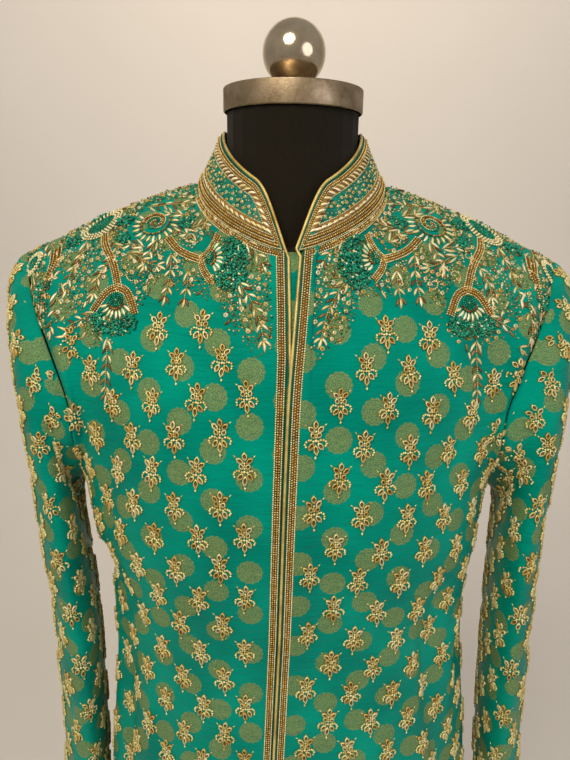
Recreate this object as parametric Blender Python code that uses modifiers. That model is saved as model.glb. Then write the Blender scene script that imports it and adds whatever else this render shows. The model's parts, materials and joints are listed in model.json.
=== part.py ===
"""A knee-length sherwani coat on a limbless dress form.

The coat is cut from one guide surface: rings of half-width and depth up to the armpit, then
sections that narrow to the armholes, the neckline and the shoulder seams. The front is -Y,
the wearer's left is +X, and z = 0 is the floor. All sizes are in metres.
"""

import math

import bmesh
import bpy
import numpy as np
from mathutils import Vector

# ------------------------------------------------------------------ driving sizes
WALL = 0.002              # thickness of the lined brocade
SEAM_GAP = 0.0004         # clear space between two pieces at a seam
HEM_Z = 0.440
ARMPIT_Z = 1.165
FORM_BOTTOM_Z = 0.820

NECK_HALF_WIDTH = 0.083   # side neck point
NECK_SIDE_Z = 1.450
NECK_FRONT = (-0.084, 1.3965)    # y and z of the front neck point
NECK_BACK = (0.068, 1.452)       # y and z of the nape
TIP_X = 0.2439            # shoulder tip, where the sleeve is set in
TIP_Z = 1.3856
SHOULDER_DROP_POWER = 1.25

COLS = 14                 # columns of a half front or half back
NECK_COLS = 6             # of these, the ones that end at the neckline
UPPER_ROWS = 9            # rows from the armpit to the shoulder
SQUARENESS = 2.3          # exponent of the body's ring, 2 is an ellipse
NECK_SQUARENESS = 1.5     # and of its section from the chest up
SHOULDER_SHARES = (0.15, 0.50)   # the panel's columns turn from neck to shoulder between these
SHOULDER_RISE = 0.8       # the shoulder's rows crowd towards the seam by this exponent
ACROSS_RISE = 1.3         # how late a column leans over to its place on the top edge
FALL = {-1: 2.3, 1: 2.7}  # how late the chest (-1) and the back (+1) fall away to the top
CHEST_SWELL = 0.006
RELAX_ROUNDS = 12
MIRROR = np.array([-1.0, 1.0, 1.0])

COLLAR_HEIGHT = 0.047
COLLAR_TOP_HALF_WIDTH = 0.0619
COLLAR_TOP_FRONT_Y = -0.0702
COLLAR_TOP_BACK_Y = 0.0655
COLLAR_END_DEG = 4.0      # the front ends start this far from the centre front
COLLAR_CURVE_DEG = 26.0   # and reach full height over this much of the ring
COLLAR_STATIONS = (4, 6, 8.5, 11.5, 15, 19, 24, 30, 37.5, 45, 52.5, 60, 67.5, 75, 82.5, 90,
                   105, 120, 135, 150, 165, 180)
COLLAR_WALL = 0.0022

LAP_LIFT = 0.0025         # the upper front stands this far off the guide surface
LAP_FLAT_X = {1: 0.0135, -1: 0.0100}   # each front is flat this far from the opening's line
LAP_FLAT_WIDER = 0.005    # and this much farther at the neck
LAP_FLAT_Y = 0.9993       # depth at the end of the flat, as a share of the edge's
LAP_NECK_Z = (1.310, 1.390)
LAP_LIFT_Z = (1.335, 1.375)      # the lift fades out between these
PIPING_R = 0.00115
BORDER_WALL = 0.0010
TRIM_GAP = 0.00035        # what lies on a panel is moved out by this
PIPING_TOP_CUT = 0.08     # the trims end this share of the last row below the neck seam
BORDER_TOP_CUT = 0.04
UNDERLAP_Z = (1.240, 1.390)
UNDERLAP_X = (-0.0095, -0.004, 0.005, 0.0125)
UNDERLAP_WALL = 0.0015
COLLAR_ROWS = 3
COLLAR_FOOT = 0.012       # share of its height the collar stands clear of the seam

FORM_INSET = 0.0024       # clear space between the coat's guide and the form at the shoulders
FORM_INSET_BODY = 0.0100  # more of it from the chest down
FORM_INSET_LEVEL = 0.0040  # and more where the chest and the back are flat
ARM_CAP_BULGE = 0.006
NECK_R = 0.0577
NECK_BLEND_Z = 1.478
NECK_BLEND = (            # from the coat's neckline to the round neck
    # blend level inset
    (0.22, 0.05, 0.007),
    (0.60, 0.35, 0.006),
    (0.90, 0.72, 0.002),
    (1.00, 1.00, 0.000),
)
NECK_TOP_Z = 1.5075
CAP_R, CAP_Z0, CAP_Z1 = 0.0605, 1.5079, 1.5289
BALL_R, BALL_Z = 0.0270, 1.5560
STEM_R = 0.0085
POLE_R = 0.0175
BASE_R, BASE_H = 0.190, 0.014
SOCKET_R, SOCKET_H = 0.036, 0.022
EDGE = 0.0012             # rounding of turned rims
PART_GAP = 0.0003

# rings of the coat's body: z, half width, depth to the front, depth to the back
BODY_RINGS = (
    # z      half_w  front   back
    (0.440, 0.2440, 0.1740, 0.1720),
    (0.600, 0.2270, 0.1600, 0.1600),
    (0.750, 0.2080, 0.1460, 0.1480),
    (0.820, 0.1995, 0.1390, 0.1410),
    (0.890, 0.1920, 0.1310, 0.1320),
    (0.975, 0.1835, 0.1230, 0.1180),
    (1.0475, 0.1830, 0.1215, 0.1100),
    (1.100, 0.1880, 0.1250, 0.1110),
    (1.165, 0.1985, 0.1310, 0.1160),
)
LOWER_Z = (0.440, 0.500, 0.565, 0.630, 0.695, 0.760, 0.820, 0.862, 0.900, 0.935,
           0.968, 1.000, 1.030, 1.060, 1.090, 1.125)

# the armhole, from the underarm (0) to the shoulder tip (1): half width, y of its front, y of its back
ARMHOLE = (
    # share  x       front_y  back_y
    (0.000, 0.1985, 0.000, 0.000),
    (0.050, 0.1965, -0.034, 0.034),
    (0.110, 0.1950, -0.049, 0.050),
    (0.260, 0.1930, -0.062, 0.066),
    (0.410, 0.1935, -0.067, 0.071),
    (0.520, 0.1985, -0.066, 0.071),
    (0.615, 0.2070, -0.062, 0.067),
    (0.770, 0.2213, -0.048, 0.054),
    (0.845, 0.2287, -0.037, 0.042),
    (0.925, 0.2366, -0.021, 0.024),
    (1.000, TIP_X, 0.000, 0.000),
)

# the coat hangs a little to the wearer's left below the chest
SWAY = (
    # z      shift
    (0.440, 0.0070),
    (1.000, 0.0070),
    (1.080, 0.0045),
    (1.165, 0.0000),
)
SWAY_X = (0.030, 0.130)   # none of it at the opening, all of it from here out

# how far the front opening leans from the centre plane as the coat hangs
OPENING_LEAN = (
    # z      shift
    (0.440, -0.0100),
    (0.926, -0.0066),
    (1.060, -0.0028),
    (1.199, -0.0008),
    (1.341, 0.0018),
    (1.397, 0.0020),
)

# x of each front's edge from that line: the left front (+X) lies on top
OPENING = (
    # z      left_edge right_edge
    (0.440, 0.0008, 0.0045),
    (1.200, 0.0008, 0.0045),
    (1.270, 0.0010, 0.0030),
    (1.300, 0.0018, -0.0002),
    (1.330, 0.0034, -0.0022),
    (1.360, 0.0052, -0.0033),
    (1.397, 0.0077, -0.0050),
)

# x of the border strips' two sides from that line
BORDER = (
    # z      left_in left_out right_in right_out
    (0.440, 0.0028, 0.0112, -0.0030, -0.0085),
    (1.270, 0.0028, 0.0112, -0.0030, -0.0088),
    (1.330, 0.0066, 0.0124, -0.0056, -0.0114),
    (1.397, 0.0108, 0.0160, -0.0082, -0.0134),
)

# sleeve below the armhole: z, centre x of the right (-X) and the left one, centre y, half
# thickness, half depth
SLEEVE_RINGS = (
    # z      right_x left_x  y       thin    deep
    (1.110, 0.2362, 0.2432, 0.0020, 0.0230, 0.0790),
    (1.060, 0.2318, 0.2442, 0.0010, 0.0236, 0.0765),
    (1.010, 0.2292, 0.2456, 0.0000, 0.0240, 0.0735),
    (0.960, 0.2278, 0.2470, -0.0020, 0.0240, 0.0700),
    (0.910, 0.2272, 0.2485, -0.0040, 0.0240, 0.0668),
    (0.865, 0.2272, 0.2500, -0.0060, 0.0240, 0.0640),
    (0.825, 0.2282, 0.2520, -0.0080, 0.0240, 0.0615),
    (0.790, 0.2300, 0.2540, -0.0090, 0.0240, 0.0595),
    (0.765, 0.2316, 0.2558, -0.0095, 0.0240, 0.0585),
)
# the empty sleeve's flat side is turned in at the front, by side
SLEEVE_TURN = {-1: math.radians(20.0), 1: math.radians(14.0)}
# the sleeve head leaves the armhole outwards and forwards, and comes down into the first ring
HEAD_PULL = (0.083, 0.16)        # least pull, and more of it per metre of reach
HEAD_DROP, UNDERARM_DROP = 0.25, 0.50
HEAD_FORWARD, HEAD_FORWARD_Y = 0.45, 0.08
HEAD_END_PULL = 1.05
SLEEVE_HEAD_STEPS = (0.035, 0.09, 0.18, 0.30, 0.45, 0.62, 0.80)

# drag folds on the body: side (+1 is the wearer's left), share of the way from the centre line
# to the side seam and z at both ends, width, and height (negative is a trough)
FRONT_FOLDS = (
    # side  u1    z1     u2    z2    width  height
    (-1, 0.60, 1.215, 0.74, 1.095, 0.017, -0.0050),
    (-1, 0.68, 1.085, 1.00, 1.100, 0.016, -0.0060),
    (-1, 0.70, 1.125, 1.00, 1.145, 0.022, 0.0040),
    (-1, 0.80, 1.040, 0.74, 0.780, 0.018, 0.0050),
    (-1, 0.68, 1.030, 0.62, 0.800, 0.015, -0.0045),
    (-1, 0.54, 1.000, 0.50, 0.800, 0.018, 0.0040),
    (-1, 0.30, 1.330, 0.75, 1.260, 0.020, -0.0022),
    (1, 0.55, 1.100, 0.48, 1.045, 0.016, -0.0045),
    (1, 0.48, 1.045, 0.54, 0.960, 0.016, -0.0055),
    (1, 0.54, 0.960, 0.66, 0.810, 0.017, -0.0050),
    (1, 0.86, 1.080, 0.70, 0.985, 0.017, -0.0055),
    (1, 0.66, 1.060, 0.63, 0.950, 0.018, 0.0050),
    (1, 0.84, 0.980, 0.84, 0.790, 0.020, 0.0045),
    (1, 0.70, 1.250, 0.45, 1.200, 0.020, -0.0025),
)
BACK_FOLDS = (
    (-1, 0.90, 1.110, 0.45, 1.050, 0.018, -0.0050),
    (-1, 0.75, 1.020, 0.66, 0.800, 0.018, 0.0050),
    (-1, 0.45, 1.010, 0.42, 0.830, 0.018, -0.0040),
    (1, 0.92, 1.090, 0.50, 1.070, 0.018, -0.0050),
    (1, 0.62, 1.040, 0.56, 0.810, 0.018, -0.0045),
    (1, 0.80, 1.010, 0.78, 0.800, 0.018, 0.0050),
    (1, 0.55, 1.300, 0.90, 1.230, 0.022, -0.0030),
)
# folds of a sleeve, by the share of the ring from the underarm seam round the front
SLEEVE_FOLDS = (
    (0, 0.10, 1.080, 0.42, 1.020, 0.018, -0.0035),
    (0, 0.55, 1.240, 0.62, 1.060, 0.018, -0.0035),
    (0, 0.60, 0.960, 0.88, 1.000, 0.018, -0.0035),
    (0, 0.30, 0.930, 0.48, 0.880, 0.016, -0.0030),
)
HALF_GIRTH = 0.28         # length of cloth from the centre line to the side seam
SLEEVE_GIRTH = 0.34
SKIRT_WAVES = (           # soft flutes that grow towards the hem
    # side  face  waves  phase  height
    (-1, -1, 2.2, 0.10, 0.0060),
    (1, -1, 2.5, 0.35, 0.0070),
    (-1, 1, 2.6, 0.20, 0.0065),
    (1, 1, 2.2, 0.55, 0.0075),
)
SKIRT_TOP_Z = 0.90
FOLD_FADE_Z = (1.240, 1.340)     # the folds fade out up the chest
FOLD_HIGH_Z, FOLD_HIGH_SHARE = 1.360, 0.25
FOLD_SEAM_LOSS = 0.85     # share of a fold lost at the side seam

COLOURS = {               # sRGB hex, metallic, roughness
    "emerald_brocade": ("008A73", 0.0, 0.45),
    "zardozi_border": ("8B5A2B", 0.3, 0.45),
    "gold_satin": ("D9B35F", 0.2, 0.35),
    "black_form": ("1C1A14", 0.0, 0.75),
    "aged_metal": ("9A8B78", 0.9, 0.45),
    "chrome": ("E6E2DC", 1.0, 0.08),
    "stand_metal": ("3A3A3C", 0.8, 0.40),
}


# ------------------------------------------------------------------ tables and small helpers
def column(table, key, index):
    """Reads one column of a table at key, with straight lines between its rows."""
    keys = [row[0] for row in table]
    return float(np.interp(key, keys, [row[index] for row in table]))


def smooth_column(table, key, index):
    """As column, but with a smooth curve through the rows (Catmull-Rom)."""
    keys = [row[0] for row in table]
    values = [row[index] for row in table]
    key = min(max(key, keys[0]), keys[-1])
    k = min(max(int(np.searchsorted(keys, key)) - 1, 0), len(keys) - 2)
    span = keys[k + 1] - keys[k]
    t = (key - keys[k]) / span

    def slope(i):
        low, high = max(i - 1, 0), min(i + 1, len(keys) - 1)
        return (values[high] - values[low]) / (keys[high] - keys[low]) * span

    a, b = values[k], values[k + 1]
    return ((2 * t**3 - 3 * t**2 + 1) * a + (t**3 - 2 * t**2 + t) * slope(k)
            + (3 * t**2 - 2 * t**3) * b + (t**3 - t**2) * slope(k + 1))


def ease(value, low, high):
    """0 below low, 1 above high, with a smooth step between."""
    t = min(max((value - low) / (high - low), 0.0), 1.0)
    return t * t * (3 - 2 * t)


def hex_to_linear(code):
    channels = [int(code[i:i + 2], 16) / 255 for i in (0, 2, 4)]
    return [c / 12.92 if c <= 0.04045 else ((c + 0.055) / 1.055) ** 2.4 for c in channels]


def material(name):
    found = bpy.data.materials.get(name)
    if found:
        return found
    code, metallic, roughness = COLOURS[name]
    made = bpy.data.materials.new(name)
    made.use_nodes = True
    shader = made.node_tree.nodes["Principled BSDF"]
    shader.inputs["Base Color"].default_value = (*hex_to_linear(code), 1)
    shader.inputs["Metallic"].default_value = metallic
    shader.inputs["Roughness"].default_value = roughness
    return made


def add_object(name, data, slot, collection):
    thing = bpy.data.objects.new(name, data)
    data.materials.append(material(slot))
    collection.objects.link(thing)
    return thing


def add_mesh(name, verts, faces, slot, collection):
    mesh = bpy.data.meshes.new(name)
    mesh.from_pydata([tuple(v) for v in verts], [], faces)
    mesh.shade_smooth()
    mesh.set_sharp_from_angle(angle=math.radians(50))
    return add_object(name, mesh, slot, collection)


# ------------------------------------------------------------------ the guide surface
def neckline(turn, face):
    """The neck seam at an angle from the centre line, on the front (-1) or the back (+1)."""
    s, c = math.sin(turn), max(math.cos(turn), 0.0)
    y, z = NECK_FRONT if face < 0 else NECK_BACK
    rise = (1 - c) ** (0.7 if face < 0 else 1.0)
    return NECK_HALF_WIDTH * s, y * c, z + (NECK_SIDE_Z - z) * rise


def neck_seam(turn, face):
    """The neckline as the panels have it: straight between their columns."""
    step = math.pi / 2 / NECK_COLS
    k = min(int(turn / step + 1e-9), NECK_COLS - 1)
    a, b = Vector(neckline(k * step, face)), Vector(neckline((k + 1) * step, face))
    return a.lerp(b, turn / step - k)


def neck_seam_at(x):
    """The point of the front neckline's first straight run at a distance from the centre."""
    first = neckline(math.pi / 2 / NECK_COLS, -1)
    return neck_seam(x / first[0] * math.pi / 2 / NECK_COLS, -1)


def top_edge(u, face):
    """The neckline, then the shoulder seam, along a panel's top."""
    neck_share = NECK_COLS / COLS
    if u <= neck_share:
        return neckline(u / neck_share * math.pi / 2, face)
    along = (u - neck_share) / (1 - neck_share)
    x = NECK_HALF_WIDTH + (TIP_X - NECK_HALF_WIDTH) * along
    return x, 0.0, NECK_SIDE_Z - (NECK_SIDE_Z - TIP_Z) * along**SHOULDER_DROP_POWER


def ring_point(u, z, face):
    """A point on the body below the armpit, u from the centre line (0) to the side seam (1)."""
    turn = u * math.pi / 2
    half = smooth_column(BODY_RINGS, z, 1)
    depth = smooth_column(BODY_RINGS, z, 2 if face < 0 else 3)
    power = 2 / SQUARENESS
    return half * math.sin(turn) ** power, face * depth * max(math.cos(turn), 0) ** power, z


def yoke_point(u, t, face):
    """A point above the armpit, t from the armpit (0) to the panel's top edge (1)."""
    top_x, top_y, top_z = top_edge(u, face)
    shoulder = ease(u, *SHOULDER_SHARES)
    share = (1 - shoulder) * t + shoulder * math.sin(t * math.pi / 2) ** SHOULDER_RISE
    half = smooth_column(ARMHOLE, share, 1)
    armhole_y = smooth_column(ARMHOLE, share, 2 if face < 0 else 3)
    across_low = math.sin(u * math.pi / 2) ** (2 / SQUARENESS)
    across = across_low + (top_x / TIP_X - across_low) * share**ACROSS_RISE
    roundness = SQUARENESS - (SQUARENESS - NECK_SQUARENESS) * ease(share, 0.0, 0.3)

    def swell(f):
        return max(1 - min(abs(f), 1.0) ** SQUARENESS, 0.0) ** (1 / roundness)

    depth = face * smooth_column(BODY_RINGS, ARMPIT_Z, 2 if face < 0 else 3)
    top_swell = swell(top_x / TIP_X)
    top_share = top_y / (depth * top_swell) if u <= NECK_COLS / COLS else 0.0
    power = 1.0 - 0.28 * ease(u, 0.20, 0.45) - 0.25 * ease(u, 0.50, 0.95)
    fall = (1 - share ** FALL[face]) ** power
    chest = CHEST_SWELL * math.sin(math.pi * share) * (1 - shoulder)
    middle = depth * (top_share + (1 - top_share) * fall) + face * chest
    s = swell(across)
    y = armhole_y * (1 - s) + middle * s
    return half * across, y, ARMPIT_Z + (top_z - ARMPIT_Z) * share


def opening_x(z, index, side):
    """Distance of the side's front edge from the centre plane, towards that side."""
    return side * (column(OPENING, z, index) + column(OPENING_LEAN, z, 1))


def flat_x(z, side):
    """Distance from the centre plane at which a front's flat lap ends."""
    wider = LAP_FLAT_WIDER * ease(z, *LAP_NECK_Z)
    return LAP_FLAT_X[side] + wider + side * column(OPENING_LEAN, z, 1)


def relaxed(grid, first_row):
    """The grid with its small creases evened out, as if joined to its mirror image.

    Its rims, the column beside the armhole and the rows below stay.
    """
    grid = grid.copy()
    for _ in range(RELAX_ROUNDS):
        whole = np.concatenate([grid[:, 1:2] * MIRROR, grid], axis=1)
        middle = whole[first_row:-1, 1:-2]
        around = (whole[first_row - 1:-2, 1:-2] + whole[first_row + 1:, 1:-2]
                  + whole[first_row:-1, :-3] + whole[first_row:-1, 2:-1]) / 4
        grid[first_row:-1, :-2] = (middle + around) / 2
    return grid


def half_grid(face):
    """Rows of points for one half panel at +X: from the hem up, and from the centre line out."""
    shares = [k / COLS for k in range(COLS + 1)]
    rows = [[ring_point(u, z, face) for u in shares] for z in LOWER_Z]
    rows += [[yoke_point(u, k / UPPER_ROWS, face) for u in shares] for k in range(UPPER_ROWS + 1)]
    return relaxed(np.array(rows), len(LOWER_Z))


def front_grid(side):
    """A half front whose first column is the opening's edge; the second bounds the flat lap."""
    grid = half_grid(-1)
    rows = []
    for row in grid:
        y, z = row[0][1], row[0][2]
        edge, wide = opening_x(z, 1 if side > 0 else 2, side), flat_x(z, side)
        lap = [(edge, y, z), (wide, y * LAP_FLAT_Y, z)]
        if z == NECK_FRONT[1]:
            lap = [(edge, *neck_seam_at(abs(edge))[1:]), tuple(neck_seam_at(wide))]
        rows.append(lap + [tuple(p) for p in row[1:]])
    return np.array(rows)


def swayed(grid):
    """The grid as it hangs: its sides moved over below the chest."""
    moved = grid.copy()
    for row in moved:
        for point in row:
            point[0] += column(SWAY, point[2], 1) * ease(abs(point[0]), *SWAY_X)
    return moved


def mirrored(grid):
    """The same rows at -X, still running from the centre line out."""
    return grid * MIRROR


def armhole_loop(front, back):
    """The armhole as a closed loop: underarm, up the front, shoulder tip, down the back."""
    start = len(LOWER_Z)
    up = front[start:, -1]
    down = back[start:, -1][::-1]
    return np.concatenate([up, down[1:]])


def sleeve_grid(loop, side):
    """Rows of closed rings from the armhole to the cuff."""
    count = len(loop) - 1
    rows = [loop]
    first = sleeve_ring(count, SLEEVE_RINGS[0], side)
    for s in SLEEVE_HEAD_STEPS:
        ring = []
        for k in range(count + 1):
            a, b = Vector(loop[k]), Vector(first[k])
            reach = (b - a).length
            drop = HEAD_DROP if 0 < k < count else UNDERARM_DROP
            out = Vector((side, 0.0, -drop)).normalized()
            forward = min(abs(b.y) / HEAD_FORWARD_Y, 1.0) * HEAD_FORWARD
            out.y += math.copysign(forward, b.y)
            start = out * (HEAD_PULL[0] + HEAD_PULL[1] * reach)
            end = Vector((0.0, 0.0, -reach * HEAD_END_PULL))
            ring.append((2 * s**3 - 3 * s**2 + 1) * a + (s**3 - 2 * s**2 + s) * start
                        + (3 * s**2 - 2 * s**3) * b + (s**3 - s**2) * end)
        rows.append(np.array(ring))
    rows.append(first)
    for sizes in SLEEVE_RINGS[1:]:
        rows.append(sleeve_ring(count, sizes, side))
    return np.array(rows)


def sleeve_ring(count, sizes, side):
    """A flattened ring, from its inner side round the front, the outer side and the back."""
    z, right_x, left_x, y, thin, deep = sizes
    x = left_x if side > 0 else right_x
    turn = SLEEVE_TURN[side]
    points = []
    for k in range(count + 1):
        angle = 2 * math.pi * k / count
        across, along = -thin * math.cos(angle), -deep * math.sin(angle)
        px = across * math.cos(turn) + along * math.sin(turn)
        py = -across * math.sin(turn) + along * math.cos(turn)
        points.append((side * (x + px), y + py, z))
    return np.array(points)


def shared_normals(grids, outward):
    """Vertex normals of grids as if they were sewn into one skin where their points meet."""
    sums = {}
    keys = [np.round(grid / 1e-5).astype(int) for grid in grids]
    for grid, key, sign in zip(grids, keys, outward):
        for i in range(grid.shape[0] - 1):
            for j in range(grid.shape[1] - 1):
                a, b = grid[i, j], grid[i, j + 1]
                c, d = grid[i + 1, j + 1], grid[i + 1, j]
                normal = sign * np.cross(c - a, d - b)
                for r, s in ((i, j), (i, j + 1), (i + 1, j + 1), (i + 1, j)):
                    spot = tuple(key[r, s])
                    sums[spot] = sums.get(spot, 0) + normal
    result = []
    for key in keys:
        field = np.array([[sums[tuple(spot)] for spot in row] for row in key])
        result.append(field / np.linalg.norm(field, axis=2, keepdims=True))
    return result


# ------------------------------------------------------------------ folds
def fold_height(folds, side, u, z, girth):
    """Sum of the folds at a point: each is a soft ridge or trough along a straight line."""
    total = 0.0
    for fold_side, u1, z1, u2, z2, width, height in folds:
        if fold_side not in (0, side):
            continue
        ax, ay, bx, by = u1 * girth, z1, u2 * girth, z2
        px, py = u * girth, z
        run = (bx - ax) ** 2 + (by - ay) ** 2
        t = min(max(((px - ax) * (bx - ax) + (py - ay) * (by - ay)) / run, 0.0), 1.0)
        away = math.hypot(px - ax - t * (bx - ax), py - ay - t * (by - ay))
        total += height * math.exp(-(away / width) ** 2) * (0.55 + 0.45 * math.sin(math.pi * t))
    return total


def skirt_height(side, face, u, z):
    """Soft flutes of the skirt, nothing at the front opening and most at the hem."""
    total = 0.0
    for wave_side, wave_face, waves, phase, height in SKIRT_WAVES:
        if (wave_side, wave_face) == (side, face):
            grow = ((SKIRT_TOP_Z - z) / (SKIRT_TOP_Z - HEM_Z)) ** 1.3 if z < SKIRT_TOP_Z else 0.0
            ends = ease(u, 0.08, 0.30) * (1 - ease(u, 0.82, 0.99))
            total += height * grow * ends * math.sin(2 * math.pi * (waves * u + phase))
    return total


def folded(grid, normals, side, face, shares):
    """The grid moved along its normals by its folds."""
    moved = grid.copy()
    folds = FRONT_FOLDS if face < 0 else BACK_FOLDS
    for i in range(grid.shape[0]):
        for j, u in enumerate(shares):
            z = grid[i, j, 2]
            settle = max(1 - ease(z, *FOLD_FADE_Z), FOLD_HIGH_SHARE * (z < FOLD_HIGH_Z))
            seam = 1 - FOLD_SEAM_LOSS * ease(u, 0.9, 1.0)
            height = fold_height(folds, side, u, z, HALF_GIRTH) * settle
            height = height * seam * ease(u, 0.10, 0.25) + skirt_height(side, face, u, z)
            moved[i, j] += normals[i, j] * height
    return moved


def folded_sleeve(grid, normals):
    moved = grid.copy()
    count = grid.shape[1] - 1
    for i in range(grid.shape[0]):
        for j in range(count + 1):
            z = grid[i, j, 2]
            height = fold_height(SLEEVE_FOLDS, 0, (j % count) / count, z, SLEEVE_GIRTH)
            moved[i, j] += normals[i, j] * height * (1 - ease(z, *FOLD_FADE_Z))
    return moved


# ------------------------------------------------------------------ walls
def trimmed(grid, edges):
    """Draws the named edges of a grid back by half the seam gap."""
    cut = grid.copy()
    sides = {"bottom": (0, 1, 0), "top": (-1, -2, 0), "first": (0, 1, 1), "last": (-1, -2, 1)}
    for edge in edges:
        at, inner, axis = sides[edge]
        line = np.take(cut, at, axis)
        step = np.take(cut, inner, axis) - line
        step = step / np.linalg.norm(step, axis=1, keepdims=True) * SEAM_GAP / 2
        if axis == 0:
            cut[at] = line + step
        else:
            cut[:, at] = line + step
    return cut


def wall_mesh(outer, inner, outward, closed=False):
    """Vertices and triangles of the solid between two grids of the same size."""
    rows, cols = outer.shape[:2]
    if closed:
        cols -= 1
    verts = [outer[i, j] for i in range(rows) for j in range(cols)]
    verts += [inner[i, j] for i in range(rows) for j in range(cols)]
    half = rows * cols
    faces = []

    def quad(a, b, c, d):
        order = (a, b, c, d) if outward > 0 else (d, c, b, a)
        faces.append((order[0], order[1], order[2]))
        faces.append((order[0], order[2], order[3]))

    def at(i, j, layer):
        return layer * half + i * cols + j % cols

    def skin(i, j, layer):
        a, b, c, d = at(i, j, layer), at(i, j + 1, layer), at(i + 1, j + 1, layer), at(i + 1, j, layer)
        out = (outward > 0) == (layer == 0)
        faces.extend([(a, b, c), (a, c, d)] if out else [(c, b, a), (d, c, a)])

    for i in range(rows - 1):
        for j in range(cols if closed else cols - 1):
            skin(i, j, 0)
            skin(i, j, 1)
    for j in range(cols if closed else cols - 1):
        quad(at(0, j, 1), at(0, j + 1, 1), at(0, j + 1, 0), at(0, j, 0))
        quad(at(rows - 1, j, 0), at(rows - 1, j + 1, 0), at(rows - 1, j + 1, 1), at(rows - 1, j, 1))
    if not closed:
        for i in range(rows - 1):
            quad(at(i, 0, 1), at(i, 0, 0), at(i + 1, 0, 0), at(i + 1, 0, 1))
            quad(at(i, cols - 1, 0), at(i, cols - 1, 1), at(i + 1, cols - 1, 1), at(i + 1, cols - 1, 0))
    return verts, faces


def add_wall(name, outer, normals, thickness, outward, slot, collection, edges, closed=False):
    """A wall that goes in from a grid. Neighbours share their normals, so their rims stay parallel."""
    inner = outer - normals * thickness
    verts, faces = wall_mesh(trimmed(outer, edges), trimmed(inner, edges), outward, closed)
    return add_mesh(name, verts, faces, slot, collection)


def add_cord(name, points, radius, slot, collection):
    """A round cord through points."""
    curve = bpy.data.curves.new(name, "CURVE")
    curve.dimensions = "3D"
    curve.bevel_depth = radius
    curve.bevel_resolution = 1
    curve.use_fill_caps = True
    spline = curve.splines.new("POLY")
    spline.points.add(len(points) - 1)
    for spot, point in zip(spline.points, points):
        spot.co = (*point, 1)
    return add_object(name, curve, slot, collection)


# ------------------------------------------------------------------ the coat
def build_guide():
    """All grids of the coat and the normals they share."""
    front_left = front_grid(1)
    back = half_grid(1)
    loop = armhole_loop(front_left, back)
    grids = {
        "front_left": swayed(front_left),
        "front_right": swayed(mirrored(front_grid(-1))),
        "back_left": swayed(back),
        "back_right": swayed(mirrored(back)),
        "sleeve_left": sleeve_grid(loop, 1),
        "sleeve_right": sleeve_grid(loop * MIRROR, -1),
    }
    signs = {"front_left": 1, "front_right": -1, "back_left": -1, "back_right": 1,
             "sleeve_left": -1, "sleeve_right": 1}
    names = list(grids)
    normals = shared_normals([grids[n] for n in names], [signs[n] for n in names])
    return grids, dict(zip(names, normals)), signs


def build_body(grids, normals, signs, collection):
    shares = [k / COLS for k in range(COLS + 1)]
    front_shares = [0.0, 0.0] + shares[1:]
    for side, name in ((1, "front_left"), (-1, "front_right")):
        outer = folded(grids[name], normals[name], side, -1, front_shares)
        if side > 0:
            for row, field in zip(outer[:, :2], normals[name][:, :2]):
                row += field * LAP_LIFT * (1 - ease(row[0, 2], *LAP_LIFT_Z))
        grids[name + "_worn"] = outer
        add_wall(name, outer, normals[name], WALL, signs[name], "emerald_brocade", collection,
                 ("top", "last"))
    halves = [folded(grids["back_" + n], normals["back_" + n], side, 1, shares)
              for side, n in ((-1, "right"), (1, "left"))]
    outer = np.concatenate([halves[0][:, ::-1], halves[1][:, 1:]], axis=1)
    field = np.concatenate([normals["back_right"][:, ::-1], normals["back_left"][:, 1:]], axis=1)
    add_wall("back", outer, field, WALL, -1, "emerald_brocade", collection, ("top", "first", "last"))
    for name in ("sleeve_left", "sleeve_right"):
        outer = folded_sleeve(grids[name], normals[name])
        add_wall(name, outer, normals[name], WALL, signs[name], "emerald_brocade", collection,
                 ("bottom",), closed=True)


def collar_rise(degrees):
    """The collar's height at an angle from the centre front: its front ends are curved."""
    along = min(max((degrees - COLLAR_END_DEG) / COLLAR_CURVE_DEG, 0.0), 1.0)
    return COLLAR_HEIGHT * (0.04 + 0.96 * (1 - (1 - along) ** 2.1))


def collar_point(turn, share):
    """A point of the collar, turn from the centre front round to the other side."""
    side = 1 if math.sin(turn) >= 0 else -1
    from_front = turn if turn <= math.pi else 2 * math.pi - turn
    face = -1 if from_front <= math.pi / 2 else 1
    quarter = from_front if face < 0 else math.pi - from_front
    x, y, z = neck_seam(quarter, face)
    lean_y = COLLAR_TOP_FRONT_Y - NECK_FRONT[0] if face < 0 else COLLAR_TOP_BACK_Y - NECK_BACK[0]
    round_x, round_y, round_z = neckline(quarter, face)
    rise = math.sqrt(COLLAR_HEIGHT**2 - (NECK_HALF_WIDTH - COLLAR_TOP_HALF_WIDTH) ** 2)
    top = Vector((round_x * COLLAR_TOP_HALF_WIDTH / NECK_HALF_WIDTH,
                  round_y + lean_y * math.cos(quarter), round_z + rise))
    base = Vector((x, y, z))
    height = collar_rise(math.degrees(from_front)) / COLLAR_HEIGHT
    point = base.lerp(top, share * height)
    return Vector((side * point.x, point.y, point.z))


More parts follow.
